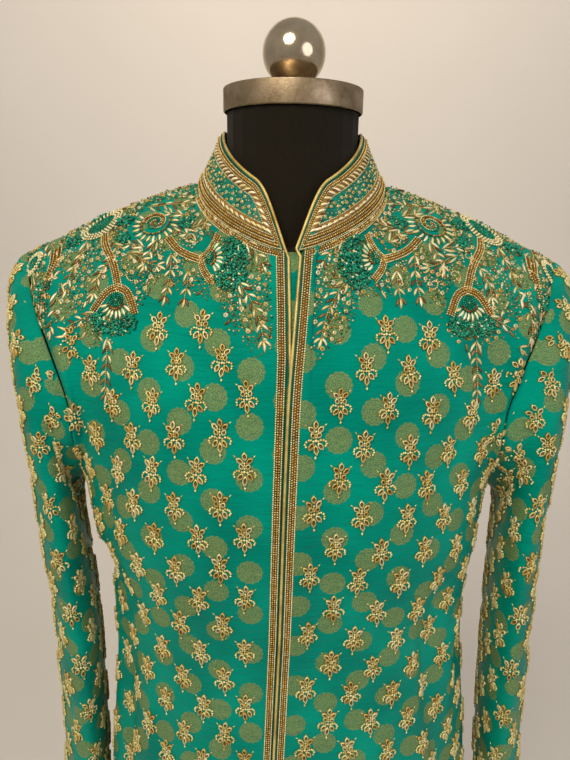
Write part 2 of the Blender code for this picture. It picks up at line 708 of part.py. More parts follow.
def build_collar(collection):
    half = [math.radians(d) for d in COLLAR_STATIONS]
    turns = half + [2 * math.pi - t for t in reversed(half[:-1])]
    levels = [COLLAR_FOOT + (1 - COLLAR_FOOT) * k / COLLAR_ROWS for k in range(COLLAR_ROWS + 1)]
    grid = np.array([[collar_point(t, level) for t in turns] for level in levels])
    grid[0, :, 2] += SEAM_GAP
    outward = shared_normals([grid], [1])[0]
    add_wall("collar", grid, outward, COLLAR_WALL, 1, "zardozi_border", collection, ())
    edge = grid[-1] - outward[-1] * COLLAR_WALL / 2
    tangent = np.gradient(edge, axis=0)
    beyond = np.cross(outward[-1], tangent)
    beyond /= np.linalg.norm(beyond, axis=1, keepdims=True)
    path = edge + beyond * (PIPING_R + TRIM_GAP)
    add_cord("piping_collar", [tuple(p) for p in path[1:-1]], PIPING_R, "gold_satin", collection)


def build_opening(grids, normals, collection):
    """The cords on both edges, the raised borders beside them and the strip behind the V."""
    for side, name in ((1, "left"), (-1, "right")):
        outer = grids["front_%s_worn" % name]
        field = normals["front_" + name]
        path = outer[:, 0] - field[:, 0] * WALL / 2
        path = path - np.array([side, 0.0, 0.0]) * (PIPING_R + TRIM_GAP)
        path[-1] += (path[-2] - path[-1]) * PIPING_TOP_CUT
        add_cord("piping_" + name, [tuple(p) for p in path], PIPING_R, "gold_satin", collection)
        grid = []
        last = outer.shape[0] - 1
        for i in range(last + 1):
            a, b = outer[i, 0], outer[i, 1]
            if i == last:
                a = a + (outer[i - 1, 0] - a) * BORDER_TOP_CUT
                b = b + (outer[i - 1, 1] - b) * BORDER_TOP_CUT
            z = a[2]
            row = []
            for place in ((1, 2) if side > 0 else (3, 4)):
                x = column(BORDER, z, place) + column(OPENING_LEAN, z, 1)
                t = (x - a[0]) / (b[0] - a[0])
                row.append(a + (b - a) * t)
            grid.append(row)
        grid = np.array(grid)
        out = np.array([[field[i, 0], field[i, 0]] for i in range(grid.shape[0])])
        base = grid + out * TRIM_GAP
        add_wall("border_" + name, base + out * BORDER_WALL, out, BORDER_WALL,
                 1 if side > 0 else -1, "zardozi_border", collection, ())
    grid = []
    for edge in grids["front_right_worn"][:, 0]:
        if UNDERLAP_Z[0] < edge[2] < UNDERLAP_Z[1]:
            lean = column(OPENING_LEAN, edge[2], 1)
            grid.append([(lean + x, edge[1], edge[2]) for x in UNDERLAP_X])
    grid = np.array(grid)
    out = shared_normals([grid], [1])[0]
    add_wall("underlap", grid - out * (WALL + SEAM_GAP), out, UNDERLAP_WALL, 1, "emerald_brocade",
             collection, ())


# ------------------------------------------------------------------ the dress form and stand
def form_inset(y, z):
    """The form fills the coat at the shoulders and stands inside it at the chest and below."""
    body = FORM_INSET_BODY * (1 - ease(z, 1.20, 1.37))
    return FORM_INSET + body + FORM_INSET_LEVEL * ease(abs(y), 0.020, 0.065)


def build_form(grids, normals, collection):
    start = LOWER_Z.index(FORM_BOTTOM_Z)
    front, back = half_grid(-1), half_grid(1)
    quarter = {"fl": swayed(front), "fr": swayed(mirrored(front)),
               "bl": swayed(back), "br": swayed(mirrored(back))}
    field = shared_normals([*quarter.values(), grids["sleeve_left"], grids["sleeve_right"]],
                           (1, -1, -1, 1, -1, 1))
    inset = {}
    for key, out in zip(quarter, field):
        grid = quarter[key]
        depth = np.array([[form_inset(p[1], p[2]) for p in row] for row in grid])[..., None]
        inset[key] = (grid - out * depth)[start:]
    bm = bmesh.new()
    lookup = {}

    def vert(point):
        key = tuple(int(round(c / 2e-6)) for c in point)
        if key not in lookup:
            lookup[key] = bm.verts.new(point)
        return lookup[key]

    for key, grid in inset.items():
        if key == "br":
            grid = grid[:, ::-1]
        for i in range(grid.shape[0] - 1):
            for j in range(grid.shape[1] - 1):
                a, b, c, d = (vert(grid[i, j]), vert(grid[i, j + 1]), vert(grid[i + 1, j + 1]),
                              vert(grid[i + 1, j]))
                bm.faces.new((a, b, c))
                bm.faces.new((a, c, d))

    def ring(front_l, back_l, back_r, front_r):
        """One closed ring of points from the four quarters."""
        return list(front_l) + list(back_l)[::-1][1:] + list(back_r)[1:] + list(front_r)[::-1][1:-1]

    bottom = ring(inset["fl"][0], inset["bl"][0], inset["br"][0], inset["fr"][0])
    centre = bm.verts.new((0, 0, FORM_BOTTOM_Z))
    for p, q in zip(bottom, bottom[1:] + bottom[:1]):
        bm.faces.new((vert(q), vert(p), centre))
    rise = len(LOWER_Z) - start
    for side, f, b in ((1, "fl", "bl"), (-1, "fr", "br")):
        loop = list(inset[f][rise:, -1]) + list(inset[b][rise:, -1])[::-1][1:-1]
        middle = sum((Vector(p) for p in loop), Vector()) / len(loop)
        cap = bm.verts.new((middle.x + side * ARM_CAP_BULGE, middle.y, middle.z))
        for p, q in zip(loop, loop[1:] + loop[:1]):
            bm.faces.new((vert(p), vert(q), cap) if side < 0 else (vert(q), vert(p), cap))
    n = NECK_COLS + 1
    base = ring(inset["fl"][-1, :n], inset["bl"][-1, :n], inset["br"][-1, :n], inset["fr"][-1, :n])
    rings = [base]
    for blend, level, low in NECK_BLEND:
        points = []
        for k, p in enumerate(base):
            turn = 2 * math.pi * k / len(base)
            round_x, round_y = NECK_R * math.sin(turn), -NECK_R * math.cos(turn)
            radius = math.hypot(p[0], p[1])
            pull = 1 - low / radius
            points.append((p[0] * pull * (1 - blend) + round_x * blend,
                           p[1] * pull * (1 - blend) + round_y * blend,
                           p[2] + (NECK_BLEND_Z - p[2]) * level))
        rings.append(points)
    rings.append([(p[0], p[1], NECK_TOP_Z) for p in rings[-1]])
    for low, high in zip(rings, rings[1:]):
        for k in range(len(base)):
            m = (k + 1) % len(base)
            bm.faces.new((vert(low[k]), vert(low[m]), vert(high[m]), vert(high[k])))
    bm.faces.new([vert(p) for p in rings[-1]])
    bmesh.ops.recalc_face_normals(bm, faces=bm.faces)
    mesh = bpy.data.meshes.new("form_torso")
    bm.to_mesh(mesh)
    bm.free()
    mesh.shade_smooth()
    mesh.set_sharp_from_angle(angle=math.radians(50))
    return add_object("form_torso", mesh, "black_form", collection)


def add_turned(name, profile, steps, slot, collection):
    """A turned piece: a profile of radius and height, run down its outer side, on the Screw modifier."""
    mesh = bpy.data.meshes.new(name)
    mesh.from_pydata([(r, 0, z) for r, z in profile], [(k, k + 1) for k in range(len(profile) - 1)], [])
    thing = add_object(name, mesh, slot, collection)
    screw = thing.modifiers.new("turn", "SCREW")
    screw.steps = steps
    screw.render_steps = steps
    screw.use_merge_vertices = True
    screw.merge_threshold = 0.00005
    screw.use_smooth_shade = True
    return thing


def build_stand(collection):
    add_turned("neck_cap", [(0, CAP_Z1), (CAP_R - EDGE, CAP_Z1), (CAP_R, CAP_Z1 - EDGE),
                            (CAP_R, CAP_Z0 + EDGE / 2), (CAP_R - EDGE / 2, CAP_Z0), (0, CAP_Z0)],
               48, "aged_metal", collection)
    foot = math.asin(STEM_R / BALL_R)
    arc = [(BALL_R * math.sin(a), BALL_Z + BALL_R * math.cos(a))
           for a in [(math.pi - foot) * k / 12 for k in range(13)]]
    seat = CAP_Z1 + PART_GAP
    add_turned("cap_ball", arc + [(STEM_R, seat), (0, seat)], 28, "chrome", collection)
    top = FORM_BOTTOM_Z - PART_GAP
    foot = BASE_H + PART_GAP
    add_turned("pole", [(0, top), (POLE_R, top), (POLE_R, foot + SOCKET_H),
                        (SOCKET_R - EDGE, foot + SOCKET_H * 2 / 3), (SOCKET_R, foot), (0, foot)],
               24, "stand_metal", collection)
    add_turned("base_plate", [(0, BASE_H), (BASE_R - 5 * EDGE, BASE_H), (BASE_R - EDGE, BASE_H - 3 * EDGE),
                              (BASE_R, BASE_H - 7 * EDGE), (BASE_R, 0.0), (0, 0.0)],
               56, "stand_metal", collection)


# ------------------------------------------------------------------ build
for thing in list(bpy.data.objects):
    bpy.data.objects.remove(thing, do_unlink=True)
parts = bpy.data.collections.new("sherwani_coat")
bpy.context.scene.collection.children.link(parts)

guide, guide_normals, guide_signs = build_guide()
build_body(guide, guide_normals, guide_signs, parts)
build_collar(parts)
build_opening(guide, guide_normals, parts)
build_form(guide, guide_normals, parts)
build_stand(parts)
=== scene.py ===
# %% [markdown]
# # A sherwani on its dress form
#
# A sherwani is a knee-length coat of stiff silk with a stand collar. This one is brocade, laid
# all over with small raised sprigs, and it is shown on a black form without limbs.
#
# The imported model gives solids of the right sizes. Everything made here goes over them: thin
# cloth for the thick panels, thread and beads on the cloth, and finishes for the form.

# %% Load the frame
import json
import math
import random

import bmesh
import bpy
import numpy as np
from mathutils import Matrix, Vector
from mathutils.kdtree import KDTree

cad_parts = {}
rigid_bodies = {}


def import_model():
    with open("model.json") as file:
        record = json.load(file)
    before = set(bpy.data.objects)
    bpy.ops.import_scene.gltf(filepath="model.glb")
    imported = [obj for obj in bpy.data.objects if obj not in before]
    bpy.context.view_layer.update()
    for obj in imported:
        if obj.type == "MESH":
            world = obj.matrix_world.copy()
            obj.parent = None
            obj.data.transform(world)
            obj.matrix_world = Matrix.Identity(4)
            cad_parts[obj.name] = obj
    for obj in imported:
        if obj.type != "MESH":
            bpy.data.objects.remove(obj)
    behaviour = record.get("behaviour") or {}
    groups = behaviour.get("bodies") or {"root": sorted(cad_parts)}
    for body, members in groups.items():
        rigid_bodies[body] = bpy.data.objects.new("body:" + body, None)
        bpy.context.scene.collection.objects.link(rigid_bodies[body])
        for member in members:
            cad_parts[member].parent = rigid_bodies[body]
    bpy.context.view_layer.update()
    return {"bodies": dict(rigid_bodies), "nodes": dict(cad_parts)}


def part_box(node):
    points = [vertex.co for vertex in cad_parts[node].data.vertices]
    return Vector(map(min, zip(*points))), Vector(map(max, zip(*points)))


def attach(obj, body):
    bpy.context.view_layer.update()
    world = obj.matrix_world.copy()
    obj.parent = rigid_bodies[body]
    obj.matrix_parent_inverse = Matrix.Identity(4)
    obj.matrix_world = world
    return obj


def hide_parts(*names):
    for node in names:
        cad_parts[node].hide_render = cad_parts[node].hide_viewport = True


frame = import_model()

nodes = frame["nodes"]
root = list(frame["bodies"])[0]
print("solids:", len(nodes), "body:", root)

# %% [markdown]
# The camera comes first, because it settles what has to be fine and what may be plain. It stands
# close to the chest with a wide lens, at the height of the shoulders, and looks down along the
# front of the coat.

# %% Camera
camera_data = bpy.data.cameras.new("camera")
camera_data.sensor_fit = "VERTICAL"
camera_data.sensor_height = 36.0
camera_data.lens = 28.42
camera_data.clip_start = 0.02
camera = bpy.data.objects.new("camera", camera_data)
bpy.context.scene.collection.objects.link(camera)
camera.matrix_world = (Matrix.Translation((-0.001, -0.568, 1.4315))
                       @ Matrix.Rotation(math.radians(0.19), 4, "Z")
                       @ Matrix.Rotation(math.radians(90.0 - 16.2), 4, "X")
                       @ Matrix.Rotation(math.radians(1.0), 4, "Z"))
bpy.context.scene.camera = camera
print("camera at", tuple(round(v, 3) for v in camera.matrix_world.translation))

# %% [markdown]
# A coat is cut in panels: two fronts, a back and two sleeves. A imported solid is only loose
# triangles, so the panels' surface is worked out again here from the cutter's own sizes. Below the
# armpit the body is a stack of rings, wide at the hem and chest and slim at the waist, so a table
# of half widths and depths says it all. Sizes are metres, the front faces -Y and the wearer's left
# is +X. A few small functions read between a table's rows.

# %% Rings of the body
HEM_Z = 0.440
ARMPIT_Z = 1.165
SQUARENESS = 2.3          # exponent of the body's ring, 2 is an ellipse
BODY_RINGS = (
    # z      half_w  front   back
    (0.440, 0.2440, 0.1740, 0.1720),
    (0.600, 0.2270, 0.1600, 0.1600),
    (0.750, 0.2080, 0.1460, 0.1480),
    (0.820, 0.1995, 0.1390, 0.1410),
    (0.890, 0.1920, 0.1310, 0.1320),
    (0.975, 0.1835, 0.1230, 0.1180),
    (1.0475, 0.1830, 0.1215, 0.1100),
    (1.100, 0.1880, 0.1250, 0.1110),
    (1.165, 0.1985, 0.1310, 0.1160),
)
LOWER_Z = (0.440, 0.500, 0.565, 0.630, 0.695, 0.760, 0.820, 0.862, 0.900, 0.935,
           0.968, 1.000, 1.030, 1.060, 1.090, 1.125)


def column(table, key, index):
    """Reads one column of a table at key, with straight lines between its rows."""
    keys = [row[0] for row in table]
    return float(np.interp(key, keys, [row[index] for row in table]))


def hermite(t, a, b, start, end):
    """A point from a (t = 0) to b (t = 1), on the curve with these slopes at its ends."""
    return ((2 * t**3 - 3 * t**2 + 1) * a + (t**3 - 2 * t**2 + t) * start
            + (3 * t**2 - 2 * t**3) * b + (t**3 - t**2) * end)


def smooth_column(table, key, index):
    """As column, but with a smooth curve through the rows (Catmull-Rom)."""
    keys = [row[0] for row in table]
    values = [row[index] for row in table]
    key = min(max(key, keys[0]), keys[-1])
    k = min(max(int(np.searchsorted(keys, key)) - 1, 0), len(keys) - 2)
    span = keys[k + 1] - keys[k]
    t = (key - keys[k]) / span

    def slope(i):
        low, high = max(i - 1, 0), min(i + 1, len(keys) - 1)
        return (values[high] - values[low]) / (keys[high] - keys[low]) * span

    return hermite(t, values[k], values[k + 1], slope(k), slope(k + 1))


def ease(value, low, high):
    """0 below low, 1 above high, with a smooth step between."""
    t = min(max((value - low) / (high - low), 0.0), 1.0)
    return t * t * (3 - 2 * t)


print("half width of the waist:", round(smooth_column(BODY_RINGS, 1.0, 1), 4), "m")

# %% [markdown]
# The top of a panel is a curve in space: first the seam of the collar, round the neck, and then
# the shoulder seam, which drops towards the sleeve. Formulas draw it, so that the fronts, the back
# and the collar all meet on the same line.

# %% Neckline and shoulder seam
NECK_HALF_WIDTH = 0.083   # side neck point
NECK_SIDE_Z = 1.450
NECK_FRONT = (-0.084, 1.3965)    # y and z of the front neck point
NECK_BACK = (0.068, 1.452)       # y and z of the nape
TIP_X = 0.2439            # shoulder tip, where the sleeve is set in
TIP_Z = 1.3856
SHOULDER_DROP_POWER = 1.25
COLS = 14                 # columns of a half front or half back
NECK_COLS = 6             # of these, the ones that end at the neckline


def neckline(turn, face):
    """The neck seam at an angle from the centre line, on the front (-1) or the back (+1)."""
    s, c = math.sin(turn), max(math.cos(turn), 0.0)
    y, z = NECK_FRONT if face < 0 else NECK_BACK
    rise = (1 - c) ** (0.7 if face < 0 else 1.0)
    return NECK_HALF_WIDTH * s, y * c, z + (NECK_SIDE_Z - z) * rise


def neck_seam_at(x):
    """The point of the front neckline's first straight run at a distance from the centre."""
    middle, first = (Vector(neckline(k * math.pi / 2 / NECK_COLS, -1)) for k in (0, 1))
    return middle.lerp(first, x / first.x)


def top_edge(u, face):
    """The neckline, then the shoulder seam, along a panel's top."""
    neck_share = NECK_COLS / COLS
    if u <= neck_share:
        return neckline(u / neck_share * math.pi / 2, face)
    along = (u - neck_share) / (1 - neck_share)
    x = NECK_HALF_WIDTH + (TIP_X - NECK_HALF_WIDTH) * along
    return x, 0.0, NECK_SIDE_Z - (NECK_SIDE_Z - TIP_Z) * along**SHOULDER_DROP_POWER


print("front of the neckline at z", NECK_FRONT[1], "shoulder tip at x", TIP_X)

# %% [markdown]
# Between the armpit and that edge the cloth bends two ways, over the chest and into the armhole.
# It could be sculpted, but then it would meet neither the sleeves nor the solids. So each column
# of points slides up and across by a share of its own, and a few rounds of averaging take out the
# small creases that such formulas leave.

# %% Half a front, half a back
UPPER_ROWS = 9            # rows from the armpit to the shoulder
NECK_SQUARENESS = 1.5     # and of its section from the chest up
SHOULDER_SHARES = (0.15, 0.50)   # the panel's columns turn from neck to shoulder between these
SHOULDER_RISE = 0.8       # the shoulder's rows crowd towards the seam by this exponent
ACROSS_RISE = 1.3         # how late a column leans over to its place on the top edge
FALL = {-1: 2.3, 1: 2.7}  # how late the chest (-1) and the back (+1) fall away to the top
CHEST_SWELL = 0.006
RELAX_ROUNDS = 12
MIRROR = np.array([-1.0, 1.0, 1.0])
ARMHOLE = (
    # share  x       front_y  back_y
    (0.000, 0.1985, 0.000, 0.000),
    (0.050, 0.1965, -0.034, 0.034),
    (0.110, 0.1950, -0.049, 0.050),
    (0.260, 0.1930, -0.062, 0.066),
    (0.410, 0.1935, -0.067, 0.071),
    (0.520, 0.1985, -0.066, 0.071),
    (0.615, 0.2070, -0.062, 0.067),
    (0.770, 0.2213, -0.048, 0.054),
    (0.845, 0.2287, -0.037, 0.042),
    (0.925, 0.2366, -0.021, 0.024),
    (1.000, TIP_X, 0.000, 0.000),
)


def ring_point(u, z, face):
    """A point on the body below the armpit, u from the centre line (0) to the side seam (1)."""
    turn = u * math.pi / 2
    half = smooth_column(BODY_RINGS, z, 1)
    depth = smooth_column(BODY_RINGS, z, 2 if face < 0 else 3)
    power = 2 / SQUARENESS
    return half * math.sin(turn) ** power, face * depth * max(math.cos(turn), 0) ** power, z


def yoke_point(u, t, face):
    """A point above the armpit, t from the armpit (0) to the panel's top edge (1)."""
    top_x, top_y, top_z = top_edge(u, face)
    shoulder = ease(u, *SHOULDER_SHARES)
    share = (1 - shoulder) * t + shoulder * math.sin(t * math.pi / 2) ** SHOULDER_RISE
    half = smooth_column(ARMHOLE, share, 1)
    armhole_y = smooth_column(ARMHOLE, share, 2 if face < 0 else 3)
    across_low = math.sin(u * math.pi / 2) ** (2 / SQUARENESS)
    across = across_low + (top_x / TIP_X - across_low) * share**ACROSS_RISE
    roundness = SQUARENESS - (SQUARENESS - NECK_SQUARENESS) * ease(share, 0.0, 0.3)

    def swell(f):
        return max(1 - min(abs(f), 1.0) ** SQUARENESS, 0.0) ** (1 / roundness)

    depth = face * smooth_column(BODY_RINGS, ARMPIT_Z, 2 if face < 0 else 3)
    top_swell = swell(top_x / TIP_X)
    top_share = top_y / (depth * top_swell) if u <= NECK_COLS / COLS else 0.0
    power = 1.0 - 0.28 * ease(u, 0.20, 0.45) - 0.25 * ease(u, 0.50, 0.95)   # fuller towards the side
    fall = (1 - share ** FALL[face]) ** power
    chest = CHEST_SWELL * math.sin(math.pi * share) * (1 - shoulder)
    middle = depth * (top_share + (1 - top_share) * fall) + face * chest
    s = swell(across)
    y = armhole_y * (1 - s) + middle * s
    return half * across, y, ARMPIT_Z + (top_z - ARMPIT_Z) * share


def relaxed(grid, first_row):
    """The grid with its small creases evened out, as if joined to its mirror image.

    Its rims, the column beside the armhole and the rows below stay.
    """
    grid = grid.copy()
    for _ in range(RELAX_ROUNDS):
        whole = np.concatenate([grid[:, 1:2] * MIRROR, grid], axis=1)
        middle = whole[first_row:-1, 1:-2]
        around = (whole[first_row - 1:-2, 1:-2] + whole[first_row + 1:, 1:-2]
                  + whole[first_row:-1, :-3] + whole[first_row:-1, 2:-1]) / 4
        grid[first_row:-1, :-2] = (middle + around) / 2
    return grid


def half_grid(face):
    """Rows of points for one half panel at +X: from the hem up, and from the centre line out."""
    shares = [k / COLS for k in range(COLS + 1)]
    rows = [[ring_point(u, z, face) for u in shares] for z in LOWER_Z]
    rows += [[yoke_point(u, k / UPPER_ROWS, face) for u in shares] for k in range(UPPER_ROWS + 1)]
    return relaxed(np.array(rows), len(LOWER_Z))


print("points of a half back:", half_grid(1).shape[:2])

# %% [markdown]
# The fronts don't end on the centre line. Their edges lean, part towards the collar, and one laps
# over the other, so each edge has its own table. The first strip of cloth beside it is flat,
# because a stiff facing lies behind it. Worn, the whole coat also hangs a few millimetres aside.

# %% Fronts and their opening
OPENING_LEAN = (
    # z      shift
    (0.440, -0.0100),
    (0.926, -0.0066),
    (1.060, -0.0028),
    (1.199, -0.0008),
    (1.341, 0.0018),
    (1.397, 0.0020),
)
OPENING = (
    # z      left_edge right_edge
    (0.440, 0.0008, 0.0045),
    (1.200, 0.0008, 0.0045),
    (1.270, 0.0010, 0.0030),
    (1.300, 0.0018, -0.0002),
    (1.330, 0.0034, -0.0022),
    (1.360, 0.0052, -0.0033),
    (1.397, 0.0077, -0.0050),
)
LAP_FLAT_X = {1: 0.0135, -1: 0.0100}   # each front is flat this far from the opening's line
LAP_FLAT_WIDER = 0.005    # and this much farther at the neck
LAP_FLAT_Y = 0.9993       # depth at the end of the flat, as a share of the edge's
LAP_NECK_Z = (1.310, 1.390)
SWAY = (
    # z      shift
    (0.440, 0.0070),
    (1.000, 0.0070),
    (1.080, 0.0045),
    (1.165, 0.0000),
)
SWAY_X = (0.030, 0.130)   # none of it at the opening, all of it from here out


def opening_x(z, side):
    """Distance of the side's front edge from the centre plane, towards that side."""
    return side * (column(OPENING, z, 1 if side > 0 else 2) + column(OPENING_LEAN, z, 1))


def flat_x(z, side):
    """Distance from the centre plane at which a front's flat lap ends."""
    wider = LAP_FLAT_WIDER * ease(z, *LAP_NECK_Z)
    return LAP_FLAT_X[side] + wider + side * column(OPENING_LEAN, z, 1)


def front_grid(side):
    """A half front whose first column is the opening's edge; the second bounds the flat lap."""
    grid = half_grid(-1)
    rows = []
    for row in grid:
        y, z = row[0][1], row[0][2]
        edge, wide = opening_x(z, side), flat_x(z, side)
        lap = [(edge, y, z), (wide, y * LAP_FLAT_Y, z)]
        if z == NECK_FRONT[1]:
            lap = [(edge, *neck_seam_at(abs(edge))[1:]), tuple(neck_seam_at(wide))]
        rows.append(lap + [tuple(p) for p in row[1:]])
    return np.array(rows)


def swayed(grid):
    """The grid as it hangs: its sides moved over below the chest."""
    moved = grid.copy()
    for row in moved:
        for point in row:
            point[0] += column(SWAY, point[2], 1) * ease(abs(point[0]), *SWAY_X)
    return moved


print("width of the opening at the collar:", round(OPENING[-1][1] - OPENING[-1][2], 4), "m")

# %% [markdown]
# An empty sleeve hangs flat. Its rings start as the armhole, so the seam has no gap, and turn into
# narrow ellipses down to the cuff. Between the two, every column of points leaves the shoulder
# outwards and bends down, along a curve with a set pull at either end (Hermite).

# %% Sleeves
SLEEVE_RINGS = (
    # z      right_x left_x  y       thin    deep
    (1.110, 0.2362, 0.2432, 0.0020, 0.0230, 0.0790),
    (1.060, 0.2318, 0.2442, 0.0010, 0.0236, 0.0765),
    (1.010, 0.2292, 0.2456, 0.0000, 0.0240, 0.0735),
    (0.960, 0.2278, 0.2470, -0.0020, 0.0240, 0.0700),
    (0.910, 0.2272, 0.2485, -0.0040, 0.0240, 0.0668),
    (0.865, 0.2272, 0.2500, -0.0060, 0.0240, 0.0640),
    (0.825, 0.2282, 0.2520, -0.0080, 0.0240, 0.0615),
    (0.790, 0.2300, 0.2540, -0.0090, 0.0240, 0.0595),
    (0.765, 0.2316, 0.2558, -0.0095, 0.0240, 0.0585),
)
SLEEVE_TURN = {-1: math.radians(20.0), 1: math.radians(14.0)}
HEAD_PULL = (0.083, 0.16)        # least pull, and more of it per metre of reach
HEAD_DROP, UNDERARM_DROP = 0.25, 0.50
HEAD_FORWARD, HEAD_FORWARD_Y = 0.45, 0.08
HEAD_END_PULL = 1.05
SLEEVE_HEAD_STEPS = (0.035, 0.09, 0.18, 0.30, 0.45, 0.62, 0.80)


def armhole_loop(front, back):
    """The armhole as a closed loop: underarm, up the front, shoulder tip, down the back."""
    start = len(LOWER_Z)
    up = front[start:, -1]
    down = back[start:, -1][::-1]
    return np.concatenate([up, down[1:]])


def sleeve_ring(count, sizes, side):
    """A flattened ring, from its inner side round the front, the outer side and the back."""
    z, right_x, left_x, y, thin, deep = sizes
    x = left_x if side > 0 else right_x
    turn = SLEEVE_TURN[side]
    points = []
    for k in range(count + 1):
        angle = 2 * math.pi * k / count
        across, along = -thin * math.cos(angle), -deep * math.sin(angle)
        px = across * math.cos(turn) + along * math.sin(turn)
        py = -across * math.sin(turn) + along * math.cos(turn)
        points.append((side * (x + px), y + py, z))
    return np.array(points)


def sleeve_grid(loop, side):
    """Rows of closed rings from the armhole to the cuff."""
    count = len(loop) - 1
    rows = [loop]
    first = sleeve_ring(count, SLEEVE_RINGS[0], side)
    for s in SLEEVE_HEAD_STEPS:
        ring = []
        for k in range(count + 1):
            a, b = Vector(loop[k]), Vector(first[k])
            reach = (b - a).length
            drop = HEAD_DROP if 0 < k < count else UNDERARM_DROP
            out = Vector((side, 0.0, -drop)).normalized()
            forward = min(abs(b.y) / HEAD_FORWARD_Y, 1.0) * HEAD_FORWARD
            out.y += math.copysign(forward, b.y)
            start = out * (HEAD_PULL[0] + HEAD_PULL[1] * reach)
            end = Vector((0.0, 0.0, -reach * HEAD_END_PULL))
            ring.append(hermite(s, a, b, start, end))
        rows.append(np.array(ring))
    rows.append(first)
    for sizes in SLEEVE_RINGS[1:]:
        rows.append(sleeve_ring(count, sizes, side))
    return np.array(rows)


print("cuffs at z", SLEEVE_RINGS[-1][0])

# %% [markdown]
# Cloth on a form pulls: folds run from the armpits to the waist, and the skirt swings in soft
# flutes. Cloth simulation could make them, yet never twice alike and never where they are wanted.
# So each fold is one row of a table, a ridge or a trough along a straight line, and the panels move
# along the normals of one common skin, which keeps their seams closed.

# %% Folds and flutes
FRONT_FOLDS = (
    # side  u1    z1     u2    z2    width  height
    (-1, 0.60, 1.215, 0.74, 1.095, 0.017, -0.0050),
    (-1, 0.68, 1.085, 1.00, 1.100, 0.016, -0.0060),
    (-1, 0.70, 1.125, 1.00, 1.145, 0.022, 0.0040),
    (-1, 0.80, 1.040, 0.74, 0.780, 0.018, 0.0050),
    (-1, 0.68, 1.030, 0.62, 0.800, 0.015, -0.0045),
    (-1, 0.54, 1.000, 0.50, 0.800, 0.018, 0.0040),
    (-1, 0.30, 1.330, 0.75, 1.260, 0.020, -0.0022),
    (1, 0.55, 1.100, 0.48, 1.045, 0.016, -0.0045),
    (1, 0.48, 1.045, 0.54, 0.960, 0.016, -0.0055),
    (1, 0.54, 0.960, 0.66, 0.810, 0.017, -0.0050),
    (1, 0.86, 1.080, 0.70, 0.985, 0.017, -0.0055),
    (1, 0.66, 1.060, 0.63, 0.950, 0.018, 0.0050),
    (1, 0.84, 0.980, 0.84, 0.790, 0.020, 0.0045),
    (1, 0.70, 1.250, 0.45, 1.200, 0.020, -0.0025),
)
BACK_FOLDS = (
    (-1, 0.90, 1.110, 0.45, 1.050, 0.018, -0.0050),
    (-1, 0.75, 1.020, 0.66, 0.800, 0.018, 0.0050),
    (-1, 0.45, 1.010, 0.42, 0.830, 0.018, -0.0040),
    (1, 0.92, 1.090, 0.50, 1.070, 0.018, -0.0050),
    (1, 0.62, 1.040, 0.56, 0.810, 0.018, -0.0045),
    (1, 0.80, 1.010, 0.78, 0.800, 0.018, 0.0050),
    (1, 0.55, 1.300, 0.90, 1.230, 0.022, -0.0030),
)
SLEEVE_FOLDS = (
    (0, 0.10, 1.080, 0.42, 1.020, 0.018, -0.0035),
    (0, 0.55, 1.240, 0.62, 1.060, 0.018, -0.0035),
    (0, 0.60, 0.960, 0.88, 1.000, 0.018, -0.0035),
    (0, 0.30, 0.930, 0.48, 0.880, 0.016, -0.0030),
)
HALF_GIRTH = 0.28         # length of cloth from the centre line to the side seam
SLEEVE_GIRTH = 0.34
SKIRT_WAVES = (           # soft flutes that grow towards the hem
    # side  face  waves  phase  height
    (-1, -1, 2.2, 0.10, 0.0060),
    (1, -1, 2.5, 0.35, 0.0070),
    (-1, 1, 2.6, 0.20, 0.0065),
    (1, 1, 2.2, 0.55, 0.0075),
)
SKIRT_TOP_Z = 0.90
FOLD_FADE_Z = (1.240, 1.340)     # the folds fade out up the chest
FOLD_HIGH_Z, FOLD_HIGH_SHARE = 1.360, 0.25
FOLD_SEAM_LOSS = 0.85     # share of a fold lost at the side seam


def fold_height(folds, side, u, z, girth):
    """Sum of the folds at a point: each is a soft ridge or trough along a straight line."""
    total = 0.0
    for fold_side, u1, z1, u2, z2, width, height in folds:
        if fold_side not in (0, side):
            continue
        across, rise = (u2 - u1) * girth, z2 - z1
        x, y = (u - u1) * girth, z - z1
        t = min(max((x * across + y * rise) / (across**2 + rise**2), 0.0), 1.0)
        away = math.hypot(x - t * across, y - t * rise)
        total += height * math.exp(-(away / width) ** 2) * (0.55 + 0.45 * math.sin(math.pi * t))
    return total


def skirt_height(side, face, u, z):
    """Soft flutes of the skirt, nothing at the front opening and most at the hem."""
    total = 0.0
    for wave_side, wave_face, waves, phase, height in SKIRT_WAVES:
        if (wave_side, wave_face) == (side, face):
            grow = max((SKIRT_TOP_Z - z) / (SKIRT_TOP_Z - HEM_Z), 0.0) ** 1.3
            ends = ease(u, 0.08, 0.30) * (1 - ease(u, 0.82, 0.99))
            total += height * grow * ends * math.sin(2 * math.pi * (waves * u + phase))
    return total


print("folds:", len(FRONT_FOLDS + BACK_FOLDS + SLEEVE_FOLDS), "flutes:", len(SKIRT_WAVES))

# %% [markdown]
# Two panels that meet share the points of their seam. If each moved along its own normals, the
# seam would gape, so the normals are averaged over all panels that meet at a point first.

